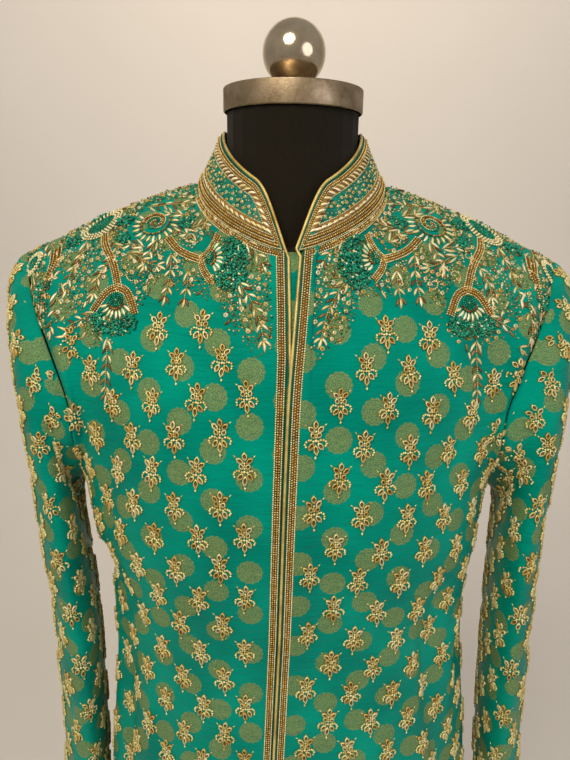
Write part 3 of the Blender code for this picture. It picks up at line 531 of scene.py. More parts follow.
# %% The folded skin
def shared_normals(grids, outward):
    """Vertex normals of grids as if they were sewn into one skin where their points meet."""
    sums = {}
    keys = [np.round(grid / 1e-5).astype(int) for grid in grids]
    for grid, key, sign in zip(grids, keys, outward):
        for i in range(grid.shape[0] - 1):
            for j in range(grid.shape[1] - 1):
                a, b = grid[i, j], grid[i, j + 1]
                c, d = grid[i + 1, j + 1], grid[i + 1, j]
                normal = sign * np.cross(c - a, d - b)
                for r, s in ((i, j), (i, j + 1), (i + 1, j + 1), (i + 1, j)):
                    spot = tuple(key[r, s])
                    sums[spot] = sums.get(spot, 0) + normal
    result = []
    for key in keys:
        field = np.array([[sums[tuple(spot)] for spot in row] for row in key])
        result.append(field / np.linalg.norm(field, axis=2, keepdims=True))
    return result


def folded(grid, normals, side, face, shares):
    """The grid moved along its normals by its folds."""
    moved = grid.copy()
    folds = FRONT_FOLDS if face < 0 else BACK_FOLDS
    for i in range(grid.shape[0]):
        for j, u in enumerate(shares):
            z = grid[i, j, 2]
            fade = max(1 - ease(z, *FOLD_FADE_Z), FOLD_HIGH_SHARE * (z < FOLD_HIGH_Z))
            seam = 1 - FOLD_SEAM_LOSS * ease(u, 0.9, 1.0)
            height = fold_height(folds, side, u, z, HALF_GIRTH) * fade
            height = height * seam * ease(u, 0.10, 0.25) + skirt_height(side, face, u, z)
            moved[i, j] += normals[i, j] * height
    return moved


def folded_sleeve(grid, normals):
    """As folded, for a sleeve, whose shares run once round it."""
    moved = grid.copy()
    count = grid.shape[1] - 1
    for i in range(grid.shape[0]):
        for j in range(count + 1):
            z = grid[i, j, 2]
            height = fold_height(SLEEVE_FOLDS, 0, (j % count) / count, z, SLEEVE_GIRTH)
            moved[i, j] += normals[i, j] * height * (1 - ease(z, *FOLD_FADE_Z))
    return moved


print("folds of the fronts reach", round(max(abs(f[-1]) for f in FRONT_FOLDS) * 1000, 1), "mm")

# %% [markdown]
# The solids are coarse: a row of points every two to six centimetres. Cloth has to curve softly,
# so each grid gets three new rows and columns between any two old ones, on curves that pass
# through the old points (Catmull-Rom). The cloth so lies on its solid and yet has no facets.

# %% Finer grids
FINER = 4


def between(values, closed):
    """New rows between the rows of an array, on smooth curves. A closed one ends as it starts."""
    if closed:
        before, after = values[-2:-1], values[1:2]
    else:
        before, after = 2 * values[:1] - values[1:2], 2 * values[-1:] - values[-2:-1]
    p = np.concatenate([before, values, after])
    rows = []
    for i in range(len(values) - 1):
        a, b, c, d = p[i], p[i + 1], p[i + 2], p[i + 3]
        for t in np.arange(FINER) / FINER:
            rows.append(b + 0.5 * t * (c - a + t * (2 * a - 5 * b + 4 * c - d
                                                    + t * (3 * (b - c) + d - a))))
    rows.append(values[-1])
    return np.array(rows)


def finer(grid, closed=False):
    """A grid with its rows and its columns made finer."""
    wide = between(grid, False)
    return between(wide.swapaxes(0, 1), closed).swapaxes(0, 1)


def grid_normals(points, sign, closed):
    """Unit normals of a fine grid; sign turns them to the outside."""
    if closed:
        around = np.concatenate([points[:, -2:-1], points, points[:, 1:2]], axis=1)
        across = (around[:, 2:] - around[:, :-2])
    else:
        across = np.gradient(points, axis=1)
    along = np.gradient(points, axis=0)
    normals = np.cross(across, along) * sign
    return normals / np.maximum(np.linalg.norm(normals, axis=2, keepdims=True), 1e-12)


print("a table of 3 rows gets", len(between(np.arange(3.0), False)), "rows")

# %% [markdown]
# A pattern woven into cloth, or sewn onto it, follows the cloth and not the room. So each panel
# carries flat coordinates in metres: u is the distance across from the centre line, v the way up
# from the hem. They are measured along the cloth itself, and every sprig, bead and band below is
# placed with them.

# %% Panels with flat coordinates
class Panel:
    """A fine grid of cloth with its normals and its flat coordinates u and v in metres.

    sign turns the normals to the outside, closed says that the last column is the first again,
    and weave is the flat coordinates of the woven pattern."""

    def __init__(self, name, points, u, v, sign=1, closed=False, weave=None):
        self.name, self.points, self.u, self.v = name, points, u, v
        self.sign, self.closed, self.weave = sign, closed, weave or (u, v)
        self.side = -1 if name.endswith("right") else 1
        self.normals = grid_normals(points, sign, closed)
        self.flat = np.stack([u.ravel(), v.ravel()], axis=1)
        self.step = [np.gradient(f, axis=k).reshape(-1, 3) for k, f in ((0, points), (1, points))]
        self.slope = [[np.gradient(f, axis=k).ravel() for k in (0, 1)] for f in (u, v)]
        self.tree = KDTree(len(self.flat))
        for k, (across, rise) in enumerate(self.flat):
            self.tree.insert((across, rise, 0.0), k)
        self.tree.balance()

    def spots(self, flat):
        """Points, outward, upward and sideways directions at flat coordinates, and how many
        steps of the grid each lies past the panel's edge."""
        flat = np.asarray(flat, float)
        nearest = np.array([self.tree.find((u, v, 0.0))[1] for u, v in flat])
        du, dv = (flat - self.flat[nearest]).T
        (ui, uj), (vi, vj) = ([s[nearest] for s in pair] for pair in self.slope)
        det = ui * vj - uj * vi
        di, dj = (du * vj - dv * uj) / det, (dv * ui - du * vi) / det
        i, j = np.divmod(nearest, self.u.shape[1])
        last_i, last_j = self.u.shape[0] - 1, self.u.shape[1] - 1
        outside = np.max([-i - di, i + di - last_i, -j - dj, j + dj - last_j], axis=0)
        di, dj = np.clip(di, -2, 2)[:, None], np.clip(dj, -2, 2)[:, None]
        rows, cols = self.step[0][nearest], self.step[1][nearest]
        place = self.points.reshape(-1, 3)[nearest] + rows * di + cols * dj
        out = self.normals.reshape(-1, 3)[nearest]
        up = (rows * uj[:, None] - cols * ui[:, None]) / (vi * uj - vj * ui)[:, None]
        up -= out * (up * out).sum(axis=1, keepdims=True)
        up /= np.linalg.norm(up, axis=1, keepdims=True)
        return place, out, up, np.cross(up, out), outside


def flat_coordinates(grid, start_u):
    """u and v of a body panel: lengths along its rows and up its columns."""
    across = np.diff(grid, axis=1)
    upward = np.diff(grid, axis=0)
    u = np.concatenate([np.zeros((len(grid), 1)),
                        np.hypot(across[..., 0], across[..., 1]).cumsum(axis=1)], axis=1)
    v = np.concatenate([np.zeros((1, grid.shape[1])),
                        np.hypot(upward[..., 1], upward[..., 2]).cumsum(axis=0)])
    return u + start_u[:, None], v + HEM_Z


print("v starts at the hem, with", HEM_Z, "m")

# %% [markdown]
# All panels are drawn from one skin, so that they meet at their seams. Then the creases go in:
# each is a soft trough or ridge along a line on the cloth, a few millimetres high. Silk lined
# with cotton pulls into such lines from the underarms and the waist.

# %% Creases of the cloth
CREASES = {
    # u1    v1    u2    v2    width height, all in mm along the cloth
    "front_right": (
        (-176, 1118, -136, 1040, 7.0, -2.4),
        (-196, 1060, -137, 1046, 6.5, -2.6),
        (-190, 1088, -150, 1076, 6.0, -1.4),
        (-152, 1030, -146, 820, 10.0, -2.0),
        (-120, 985, -112, 820, 10.0, -1.6),
        (-178, 1000, -172, 800, 9.0, -2.0),
        (-85, 1250, -160, 1215, 11.0, -1.0),
        (-60, 1180, -130, 1150, 12.0, -0.9),
        (-40, 1075, -110, 1095, 12.0, 0.8),
        (-30, 950, -90, 940, 12.0, -0.8),
    ),
    "front_left": (
        (152, 1098, 134, 1055, 6.5, -2.4),
        (134, 1055, 142, 1000, 6.5, -2.6),
        (142, 1000, 156, 950, 7.0, -2.4),
        (156, 950, 168, 830, 8.0, -2.0),
        (184, 1070, 166, 1030, 6.0, -2.2),
        (166, 1030, 152, 972, 6.0, -2.0),
        (120, 1010, 118, 860, 10.0, -1.4),
        (85, 1230, 155, 1200, 11.0, -1.0),
        (60, 1140, 140, 1130, 12.0, -0.9),
        (50, 1000, 105, 985, 12.0, -0.9),
    ),
    "back": (
        (-190, 1110, -110, 1060, 9.0, -2.0),
        (-160, 1030, -140, 860, 10.0, -2.0),
        (186, 1095, 105, 1075, 9.0, -2.2),
        (150, 1040, 128, 850, 10.0, -1.8),
        (-60, 1080, 50, 1070, 12.0, -1.4),
        (70, 1330, 150, 1270, 12.0, -1.2),
    ),
    "sleeve_left": (
        (-60, 1075, 10, 1040, 8.0, -1.8),
        (-75, 1010, -5, 990, 8.0, -2.0),
        (-20, 930, -80, 900, 8.0, -1.6),
        (-90, 1190, -40, 1130, 8.0, -1.8),
        (30, 985, 90, 1000, 9.0, -2.0),
    ),
    "sleeve_right": (
        (70, 1060, 5, 1030, 8.0, -1.8),
        (80, 1000, 10, 975, 8.0, -2.0),
        (15, 925, 75, 890, 8.0, -1.8),
        (85, 1190, 40, 1120, 8.0, -1.8),
        (-30, 990, -90, 1000, 9.0, -2.0),
    ),
}


def creased(panel):
    """Height of the panel's creases at each of its points."""
    total = np.zeros_like(panel.u)
    for crease in CREASES.get(panel.name, ()):
        u1, v1, u2, v2, width, height = (size / 1000 for size in crease)
        du, dv = u2 - u1, v2 - v1
        t = np.clip(((panel.u - u1) * du + (panel.v - v1) * dv) / (du * du + dv * dv), 0, 1)
        away = np.hypot(panel.u - u1 - t * du, panel.v - v1 - t * dv)
        total += height * np.exp(-(away / width) ** 2) * (0.5 + 0.5 * np.sin(np.pi * t))
    return total


print("creases:", sum(map(len, CREASES.values())))

# %% [markdown]
# The weave needs coordinates of its own. A net of springs is laid over the panel's points, each
# spring as long as the cloth between its two points, and the net is let settle flat. Unwrapping
# does the same for any mesh, yet a regular grid allows these few lines, and one column is pinned.

# %% A net of springs
SETTLING_ROUNDS, OVERSHOOT = 500, 1.2      # a step a little too far settles the net sooner


def laid_flat(points, u, v, pinned):
    """Flat coordinates that keep the cloth's lengths: springs on a grid, one column pinned."""
    flat = np.stack([u, v], axis=-1)
    kept = flat[:, pinned].copy()

    def ends(field, link):
        (a, b), (c, d) = link
        rows, cols = len(field) - max(a, c), field.shape[1] - max(b, d)
        return field[a:a + rows, b:b + cols], field[c:c + rows, d:d + cols]

    links = [((0, 0), (0, 1)), ((0, 0), (1, 0)), ((0, 0), (1, 1)), ((0, 1), (1, 0))]
    goals = [np.linalg.norm(np.subtract(*ends(points, link)), axis=2) for link in links]
    for _ in range(SETTLING_ROUNDS):
        push, count = np.zeros_like(flat), np.zeros(flat.shape[:2] + (1,))
        for link, goal in zip(links, goals):
            first, second = ends(flat, link)
            gap = second - first
            length = np.maximum(np.linalg.norm(gap, axis=2), 1e-9)
            move = gap * ((length - goal) / length * 0.5)[..., None]
            for part, sign in zip(ends(push, link), (1, -1)):
                part += sign * move
            for part in ends(count, link):
                part += 1
        flat += push / np.maximum(count, 1) * OVERSHOOT
        flat[:, pinned] = kept
    return flat[..., 0], flat[..., 1]


print("springs settle in", SETTLING_ROUNDS, "rounds")

# %% [markdown]
# Now the panels are drawn. Each is sewn in thought to its neighbours, folded, made finer, and
# given two pairs of flat coordinates. One measures along rows and columns and places the
# embroidery. The other is let settle like a net of springs, which keeps every length, and carries
# the woven pattern, because a loom's pattern can't stretch.

# %% The skin and its panels
LAP_LIFT = 0.0025         # the upper front stands this far off the guide surface
LAP_LIFT_Z = (1.335, 1.375)      # the lift fades out between these


def body_panels():
    """The five outer panels as fine grids, in the same place as their solids."""
    front_left, back = front_grid(1), half_grid(1)
    loop = armhole_loop(front_left, back)
    grids = {
        "front_left": swayed(front_left),
        "front_right": swayed(front_grid(-1) * MIRROR),
        "back_left": swayed(back),
        "back_right": swayed(back * MIRROR),
        "sleeve_left": sleeve_grid(loop, 1),
        "sleeve_right": sleeve_grid(loop * MIRROR, -1),
    }
    signs = (1, -1, -1, 1, -1, 1)
    normals = dict(zip(grids, shared_normals(list(grids.values()), signs)))
    shares = [k / COLS for k in range(COLS + 1)]
    made = {}
    for side, name in ((1, "front_left"), (-1, "front_right")):
        start = np.array([opening_x(row[0, 2], side) for row in grids[name]])
        u, v = flat_coordinates(grids[name], start)
        worn = folded(grids[name], normals[name], side, -1, [0.0, 0.0] + shares[1:])
        if side > 0:
            for row, field in zip(worn[:, :2], normals[name][:, :2]):
                row += field * LAP_LIFT * (1 - ease(row[0, 2], *LAP_LIFT_Z))
        made[name] = (worn, side * u, v, side)
    halves = [folded(grids["back_" + n], normals["back_" + n], side, 1, shares)
              for side, n in ((-1, "right"), (1, "left"))]
    worn = np.concatenate([halves[0][:, ::-1], halves[1][:, 1:]], axis=1)
    u, v = flat_coordinates(worn, np.zeros(len(worn)))
    made["back"] = (worn, u[:, COLS:COLS + 1] - u, v, -1)
    for side, name in ((1, "sleeve_left"), (-1, "sleeve_right")):
        grid = grids[name]
        middle = grid.shape[1] // 2
        lengths = np.linalg.norm(np.diff(grid, axis=0), axis=2)
        v = np.concatenate([lengths[::-1].cumsum(axis=0)[::-1], np.zeros((1, grid.shape[1]))])
        # Round the armhole the cloth also climbs: what a step climbs it doesn't go across.
        steps = np.linalg.norm(np.diff(grid, axis=1), axis=2)
        across = np.sqrt(np.maximum(steps ** 2 - np.diff(v, axis=1) ** 2, (0.5 * steps) ** 2))
        u = np.concatenate([np.zeros((len(grid), 1)), across.cumsum(axis=1)], axis=1)
        made[name] = (folded_sleeve(grid, normals[name]), side * (u - u[:, middle:middle + 1]),
                      v + SLEEVE_RINGS[-1][0], -side)
    panels = {}
    for name, (worn, u, v, sign) in made.items():
        closed = name.startswith("sleeve")
        points = finer(worn, closed)
        pinned = np.abs(u).sum(axis=0).argmin()
        weave = [finer(f[..., None])[..., 0] for f in laid_flat(worn, u, v, pinned)]
        u, v = (finer(f[..., None])[..., 0] for f in (u, v))
        panel = Panel(name, points, u, v, sign, closed)
        points = points + panel.normals * creased(panel)[..., None]
        panels[name] = Panel(name, points, u, v, sign, closed, weave)
    return panels


panels = body_panels()
for panel in panels.values():
    print(panel.name, panel.points.shape, "u", panel.u.min().round(3), panel.u.max().round(3),
          "v", panel.v.min().round(3), panel.v.max().round(3))

# %% [markdown]
# Each panel becomes a mesh with its flat coordinates as a UV map. A Solidify modifier gives the
# cloth its thickness inwards. The rims lie a little deeper than the rest, because a sewn seam
# pulls both edges in.

# %% From grid to cloth
SEAM_DEPTH = 0.0009
PATTERN_SHIFT = {        # how the weave's repeat falls on each panel as it was cut
    "front_left": (-0.0414, -1.2560),
    "front_right": (0.0296, -1.2661),
    "back": (0.0, -1.2500),
    "sleeve_left": (0.0120, -1.2300),
    "sleeve_right": (-0.0090, -1.2200),
}


def mesh_object(name, verts, edges=(), faces=(), material=None):
    """An object at the origin, linked to the scene. With a material it is shaded smooth."""
    mesh = bpy.data.meshes.new(name)
    mesh.from_pydata(verts, edges, faces)
    if material:
        mesh.materials.append(material)
        mesh.shade_smooth()
    thing = bpy.data.objects.new(name, mesh)
    bpy.context.scene.collection.objects.link(thing)
    return thing


def grid_object(name, panel, material, thickness):
    """A panel's cloth, with its weave as UV map and its thickness to the inside."""
    shift = PATTERN_SHIFT.get(panel.name, (0.0, 0.0))
    rows, cols = panel.u.shape
    count = cols - 1 if panel.closed else cols
    verts = panel.points[:, :count].reshape(-1, 3)
    faces, uvs = [], []
    for i in range(rows - 1):
        for j in range(cols - 1):
            quad = [(i, j), (i, j + 1), (i + 1, j + 1), (i + 1, j)]
            if panel.sign < 0:
                quad.reverse()
            faces.append([r * count + c % count for r, c in quad])
            uvs += [[w[spot] + s for w, s in zip(panel.weave, shift)] for spot in quad]
    thing = mesh_object(name, verts.tolist(), faces=faces, material=material)
    layer = thing.data.uv_layers.new(name="cloth")
    layer.data.foreach_set("uv", np.array(uvs, np.float32).ravel())
    wall = thing.modifiers.new("wall", "SOLIDIFY")
    wall.thickness = thickness
    wall.offset = -1.0
    return thing


def seam_dip(panel):
    """Pulls the panel's sewn edges in."""
    depth = np.zeros_like(panel.u)
    if panel.closed:
        depth[0, :] = 1
    else:
        depth[:, -1] = depth[-1, :] = 1
        if panel.name == "back":
            depth[:, 0] = 1
    panel.points -= panel.normals * depth[..., None] * SEAM_DEPTH


def settle(thing, slot, *replaced):
    """The piece stands for its solids and moves with the part. slot is not used."""
    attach(thing, root)
    if replaced:
        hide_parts(*replaced)


print("the weave is shifted on", len(PATTERN_SHIFT), "panels")

# %% [markdown]
# Colours are written as sRGB hex values, as on a dyer's card, and one function turns them into
# the linear values that shaders work with. Another adds a node with its settings and its links,
# so that a material reads like a recipe. They are needed from here on, for silk, thread and metal.

# %% Colours, nodes and materials
def linear(code):
    """An sRGB hex colour as the linear red, green, blue and alpha that shaders work with."""
    channels = [int(code[i:i + 2], 16) / 255 for i in (0, 2, 4)]
    return (*[c / 12.92 if c <= 0.04045 else ((c + 0.055) / 1.055) ** 2.4 for c in channels], 1.0)


def feed(tree, node, feeds):
    """Gives a node's inputs a constant, a socket, or the first output of another node."""
    for key, value in dict(feeds).items():
        if isinstance(value, bpy.types.Node):
            value = value.outputs[0]
        if isinstance(value, bpy.types.NodeSocket):
            tree.links.new(value, node.inputs[key])
        else:
            node.inputs[key].default_value = value
    return node


def add(tree, kind, feeds=(), **settings):
    """Adds a node with its settings and feeds its inputs."""
    made = tree.nodes.new(kind)
    for key, value in settings.items():
        setattr(made, key, value)
    return feed(tree, made, feeds)


def new_material(name, colour, roughness, metallic=0.0, sockets=()):
    """A material with its tree and its shader. Plain numbers stand on the shader's own sockets."""
    material = bpy.data.materials.new(name)
    material.use_nodes = True
    tree = material.node_tree
    shader = feed(tree, tree.nodes["Principled BSDF"],
                  {"Base Color": linear(colour), "Roughness": roughness, "Metallic": metallic,
                   **dict(sockets)})
    return material, tree, shader


print("emerald in linear values:", [round(c, 3) for c in linear("007F6E")])

# %% [markdown]
# Silk brocade is woven of fine bright threads: the ground is emerald, and the pattern, here
# round scalloped medallions, floats in a duller olive thread. A shader can weave it. The flat
# coordinates are turned to millimetres and wrapped to one repeat of the loom, and the distance
# from the middle of the repeat draws the medallion. The repeat is set in half drop: every other
# column lies half a repeat lower.

# %% Woven silk brocade
REPEAT = (59.0, 43.5)        # mm, two columns wide
MEDALLION = 11.2             # mm, radius


def medallion(tree, flat, start):
    """Offset in mm from the middle of the nearest medallion of one lattice."""
    moved = add(tree, "ShaderNodeVectorMath", {0: flat, 1: start}, operation="ADD")
    return add(tree, "ShaderNodeVectorMath",
               {0: moved, 1: (REPEAT[0] / 2, REPEAT[1] / 2, 1.0),
                2: (-REPEAT[0] / 2, -REPEAT[1] / 2, -1.0)}, operation="WRAP")


def brocade_material(name, ground, figure, bright):
    # Silk jacquard, woven and pressed: a soft even shine, tinted by the silk itself.
    material, tree, shader = new_material(name, ground[1], 0.46,
                                          sockets={"Sheen Weight": 0.02, "Sheen Roughness": 0.35,
                                                   "Sheen Tint": linear("5FD0A8"),
                                                   "Specular IOR Level": 0.18,
                                                   "Specular Tint": linear("2FB892")})
    uv = add(tree, "ShaderNodeUVMap", uv_map="cloth")
    flat = add(tree, "ShaderNodeVectorMath", {0: uv, "Scale": 1000.0}, operation="SCALE")
    one = medallion(tree, flat, (0.0, 0.0, 0.0))
    two = medallion(tree, flat, (REPEAT[0] / 2, REPEAT[1] / 2, 0.0))
    far = [add(tree, "ShaderNodeVectorMath", {0: v}, operation="LENGTH").outputs["Value"]
           for v in (one, two)]
    nearer = add(tree, "ShaderNodeMath", {0: far[0], 1: far[1]}, operation="LESS_THAN")
    place = add(tree, "ShaderNodeMix", {0: nearer, 4: two, 5: one}, data_type="VECTOR").outputs[1]
    radius = add(tree, "ShaderNodeMath", {0: far[0], 1: far[1]}, operation="MINIMUM")
    parts = add(tree, "ShaderNodeSeparateXYZ", {0: place})
    angle = add(tree, "ShaderNodeMath", {0: parts.outputs[1], 1: parts.outputs[0]},
                operation="ARCTAN2")

    def petals(count, turn):
        wide = add(tree, "ShaderNodeMath", {0: angle, 1: float(count), 2: turn},
                   operation="MULTIPLY_ADD")
        return add(tree, "ShaderNodeMath", {0: wide}, operation="COSINE")

    scallop = add(tree, "ShaderNodeMath", {0: petals(7, 0.0)}, operation="ABSOLUTE")
    lobes = add(tree, "ShaderNodeMath", {0: scallop, 1: -1.1, 2: radius},
                operation="MULTIPLY_ADD")
    inside = add(tree, "ShaderNodeMapRange",
                 {0: lobes, 1: MEDALLION - 0.4, 2: MEDALLION - 1.2},
                 interpolation_type="SMOOTHSTEP")
    # Rings of small petals inside the medallion, each ring a little over two millimetres wide.
    swing = add(tree, "ShaderNodeMath", {0: petals(12, 0.6), 1: 0.55, 2: radius},
                operation="MULTIPLY_ADD")
    rings = add(tree, "ShaderNodeMath", {0: swing, 1: 2.6}, operation="MULTIPLY")
    rings = add(tree, "ShaderNodeMath", {0: rings}, operation="SINE")
    # Between them the thread comes up in specks less than a millimetre apart.
    speck = add(tree, "ShaderNodeTexVoronoi", {"Vector": flat, "Scale": 1.5})
    petal = add(tree, "ShaderNodeMath", {0: rings, 1: -0.10, 2: speck}, operation="MULTIPLY_ADD")
    petal = add(tree, "ShaderNodeMapRange", {0: petal, 1: 0.72, 2: 0.12},
                interpolation_type="SMOOTHSTEP")
    # Slubs: thicker stretches of weft, about three centimetres long and under a millimetre high.
    stretched = add(tree, "ShaderNodeVectorMath", {0: flat, 1: (0.035, 1.3, 1.0)},
                    operation="MULTIPLY")
    slub = add(tree, "ShaderNodeTexNoise", {"Vector": stretched, "Scale": 1.0, "Detail": 4.0,
                                            "Roughness": 0.7})
    cloud = add(tree, "ShaderNodeTexNoise", {"Vector": flat, "Scale": 0.012, "Detail": 2.0})
    tone = add(tree, "ShaderNodeMath", {0: slub, 1: 0.55, 2: cloud}, operation="MULTIPLY_ADD")
    tone = add(tree, "ShaderNodeMapRange", {0: tone, 1: 0.46, 2: 1.10})
    silk = add(tree, "ShaderNodeMix", {0: tone, 6: linear(ground[0]), 7: linear(ground[2])},
               data_type="RGBA").outputs[2]
    thread = add(tree, "ShaderNodeMix", {0: petal, 6: linear(figure), 7: linear(bright)},
                 data_type="RGBA").outputs[2]
    share = add(tree, "ShaderNodeMath", {0: petal, 1: 0.20, 2: 0.68}, operation="MULTIPLY_ADD")
    share = add(tree, "ShaderNodeMath", {0: share, 1: inside.outputs[0]}, operation="MULTIPLY")
    colour = add(tree, "ShaderNodeMix", {0: share, 6: silk, 7: thread},
                 data_type="RGBA").outputs[2]
    gloss = add(tree, "ShaderNodeMapRange", {0: tone, 3: 0.40, 4: 0.54})
    # The figure's floating threads and the slubs stand a fraction of a millimetre proud.
    height = add(tree, "ShaderNodeMath", {0: share, 1: 0.8, 2: slub}, operation="MULTIPLY_ADD")
    bump = add(tree, "ShaderNodeBump", {"Height": height, "Strength": 0.30, "Distance": 0.0004})
    # Heavy work draws the silk into shallow puckers, mostly across, about two centimetres long.
    drawn = add(tree, "ShaderNodeVectorMath", {0: flat, 1: (0.045, 0.16, 1.0)},
                operation="MULTIPLY")
    pucker = add(tree, "ShaderNodeTexNoise", {"Vector": drawn, "Scale": 1.0, "Detail": 3.0,
                                              "Roughness": 0.55, "Distortion": 0.4})
    bump = add(tree, "ShaderNodeBump", {"Height": pucker, "Strength": 0.75, "Distance": 0.0020,
                                        "Normal": bump})
    feed(tree, shader, {"Base Color": colour, "Roughness": gloss, "Normal": bump})
    return material


silk_brocade = brocade_material("silk_brocade", ("006458", "007F6E", "00947E"), "57693A",
                                "8F9856")
print(silk_brocade.name, "nodes:", len(silk_brocade.node_tree.nodes))

# %% [markdown]
# Metal thread is a flat gilt strip wound round silk, and each stitch of it catches the light on
# its own. The embroidery's materials read the colour that each stitch carries, an attribute
# called tint, and darken it by a second attribute: painted shade along the foot of each stitch,
# where it meets the cloth, and the dark brown middle of the loops and the ring sequins.

# %% Gilt thread, beads and sequins
def thread_material(name, roughness, metallic, grain, sockets):
    # Gilt thread couched on the cloth: half metal, half silk, never a mirror.
    material, tree, shader = new_material(name, "C99A50", roughness, metallic, sockets)
    tint = add(tree, "ShaderNodeAttribute", attribute_name="tint").outputs["Color"]
    depth = add(tree, "ShaderNodeAttribute", attribute_name="core").outputs["Fac"]
    place = add(tree, "ShaderNodeTexCoord").outputs["Object"]
    # Single turns of the strip lie about 0.3 mm apart.
    turns = add(tree, "ShaderNodeTexNoise", {"Vector": place, "Scale": 3200.0, "Detail": 2.0})
    worn = add(tree, "ShaderNodeMapRange", {0: turns, 1: 0.3, 2: 0.7, 3: 1.0 - grain, 4: 1.0})
    shaded = add(tree, "ShaderNodeMix", {0: 1.0, 6: tint, 7: worn.outputs[0]}, data_type="RGBA",
                 blend_type="MULTIPLY").outputs[2]
    # The second attribute darkens the stitch to one dark brown: painted shade along its foot, and
    # the brown middle of loops and ring sequins.
    colour = add(tree, "ShaderNodeMix", {0: depth, 6: shaded, 7: linear("402608")},
                 data_type="RGBA").outputs[2]
    bump = add(tree, "ShaderNodeBump", {"Height": turns, "Strength": 0.4, "Distance": 0.0002})
    feed(tree, shader, {"Base Color": colour, "Normal": bump})
    return material


gilt_thread = thread_material("gilt_thread", 0.40, 0.25, 0.25, {"Specular Tint": linear("F0D79A")})
glass_bead = thread_material("glass_bead", 0.26, 0.20, 0.15,
                             {"Coat Weight": 0.25, "Coat Roughness": 0.15,
                              "Specular Tint": linear("F0D79A")})
print("thread materials:", gilt_thread.name, glass_bead.name)

# %% [markdown]
# Tapes and piping are satin: a close weave with long floats, so it is smooth and bright. One
# recipe serves them all, each with its own two colours, which a fine noise mixes thread by thread.

# %% Satin tape
def satin_material(name, low, high, roughness, metallic=0.0, sheen=0.05):
    # Satin ribbon, woven and calendered: bright floats over a dull core.
    material, tree, shader = new_material(name, high, roughness, metallic,
                                          {"Sheen Weight": sheen, "Sheen Roughness": 0.4,
                                           "Specular IOR Level": 0.22})
    place = add(tree, "ShaderNodeTexCoord").outputs["Object"]
    fine = add(tree, "ShaderNodeTexNoise", {"Vector": place, "Scale": 900.0, "Detail": 3.0,
                                            "Roughness": 0.6})
    broad = add(tree, "ShaderNodeTexNoise", {"Vector": place, "Scale": 60.0, "Detail": 2.0})
    tone = add(tree, "ShaderNodeMath", {0: fine, 1: 0.7, 2: broad}, operation="MULTIPLY_ADD")
    tone = add(tree, "ShaderNodeMapRange", {0: tone, 1: 0.6, 2: 1.1})
    colour = add(tree, "ShaderNodeMix", {0: tone, 6: linear(low), 7: linear(high)},
                 data_type="RGBA").outputs[2]
    bump = add(tree, "ShaderNodeBump", {"Height": fine, "Strength": 0.25, "Distance": 0.0003})
    feed(tree, shader, {"Base Color": colour, "Normal": bump})
    return material


piping_satin = satin_material("piping_satin", "A5843A", "DCC276", 0.38, 0.20)
green_satin = satin_material("green_satin", "042F1B", "0A4A2D", 0.45)
bronze_tape = satin_material("bronze_tape", "452D06", "785211", 0.60, 0.0, 0.0)
collar_silk = satin_material("collar_silk", "00584C", "00806A", 0.50)
gold_tape = satin_material("gold_tape", "6E4C1C", "A87E3C", 0.50, 0.10)
print("nodes of a satin:", len(gold_tape.node_tree.nodes))

# %% [markdown]
# Now the coat itself takes shape, in five panels. A tailor cuts them flat, so each says what size
# it was cut to.

# %% The cloth panels
SILK_THICKNESS = 0.0018


def flat_area(panel):
    """Area of the panel's cut, from its flat coordinates."""
    u, v = panel.u, panel.v
    d1 = np.stack([u[1:, 1:] - u[:-1, :-1], v[1:, 1:] - v[:-1, :-1]], axis=2)
    d2 = np.stack([u[1:, :-1] - u[:-1, 1:], v[1:, :-1] - v[:-1, 1:]], axis=2)
    return float(np.abs(d1[..., 0] * d2[..., 1] - d1[..., 1] * d2[..., 0]).sum() / 2)

cloths = {}
for name, panel in panels.items():
    seam_dip(panel)
    cloths[name] = grid_object("cloth_" + name, panel, silk_brocade, SILK_THICKNESS)
    settle(cloths[name], "emerald_brocade", name)
    width = float(np.ptp(panel.u, axis=1).max())
    height = float(np.ptp(panel.v, axis=0).max())
    area = flat_area(panel)
    "stretched" if "sleeve" in name else "hung"
    print("cut of", name, round(width, 3), "x", round(height, 3), "m, area", round(area, 3))

# %% [markdown]
# Zardozi is gold work laid on top of the cloth: coils of gilt wire, cords, beads and sequins,
# each held by a small stitch. There are tens of thousands of them, so they are instances. Five
# small shapes are drawn once, each a unit wide, long and high. Every one of them is closed below
# and has only a few dozen faces, because it is repeated so often.

# %% Shapes of the laid work
PETAL, BEAD, SEQUIN, LEAF, LEAF_BACK = range(5)


def ring_of(outline, scale, z):
    """An outline, scaled about the middle, at a height."""
    return [(x * scale, y * scale, z) for x, y in outline]


def shape(index, name, verts, faces, core):
    """A shape for the collection, numbered by its name. The last argument says how dark each point
    is: painted shade along the outline, where the shape meets the cloth, and the dark brown of its
    middle.
    """
    mesh = bpy.data.meshes.new("shape_%d_%s" % (index, name))
    mesh.from_pydata(verts, [], faces)
    mesh.shade_smooth()
    mesh.attributes.new("core", "FLOAT", "POINT").data.foreach_set("value", core)
    return bpy.data.objects.new(mesh.name, mesh)


def cupped(index, name, outline, rings, core):
    """A closed shape: an outline, rings that rise and fall inside it, and a middle point."""
    n = len(outline)
    verts = ring_of(outline, 1.0, 0.0)
    for scale, z in rings[:-1]:
        verts += ring_of(outline, scale, z)
    verts.append((0.0, 0.0, rings[-1][1]))
    faces = [tuple(reversed(range(n)))]
    for r in range(len(rings) - 1):
        faces += [(r * n + k, r * n + (k + 1) % n, (r + 1) * n + (k + 1) % n, (r + 1) * n + k)
                  for k in range(n)]
    last = (len(rings) - 1) * n
    faces += [(last + k, last + (k + 1) % n, len(verts) - 1) for k in range(n)]
    return shape(index, name, verts, faces, [core[0]] * n + sum(([c] * n for c in core[1:-1]), [])
                 + [core[-1]])


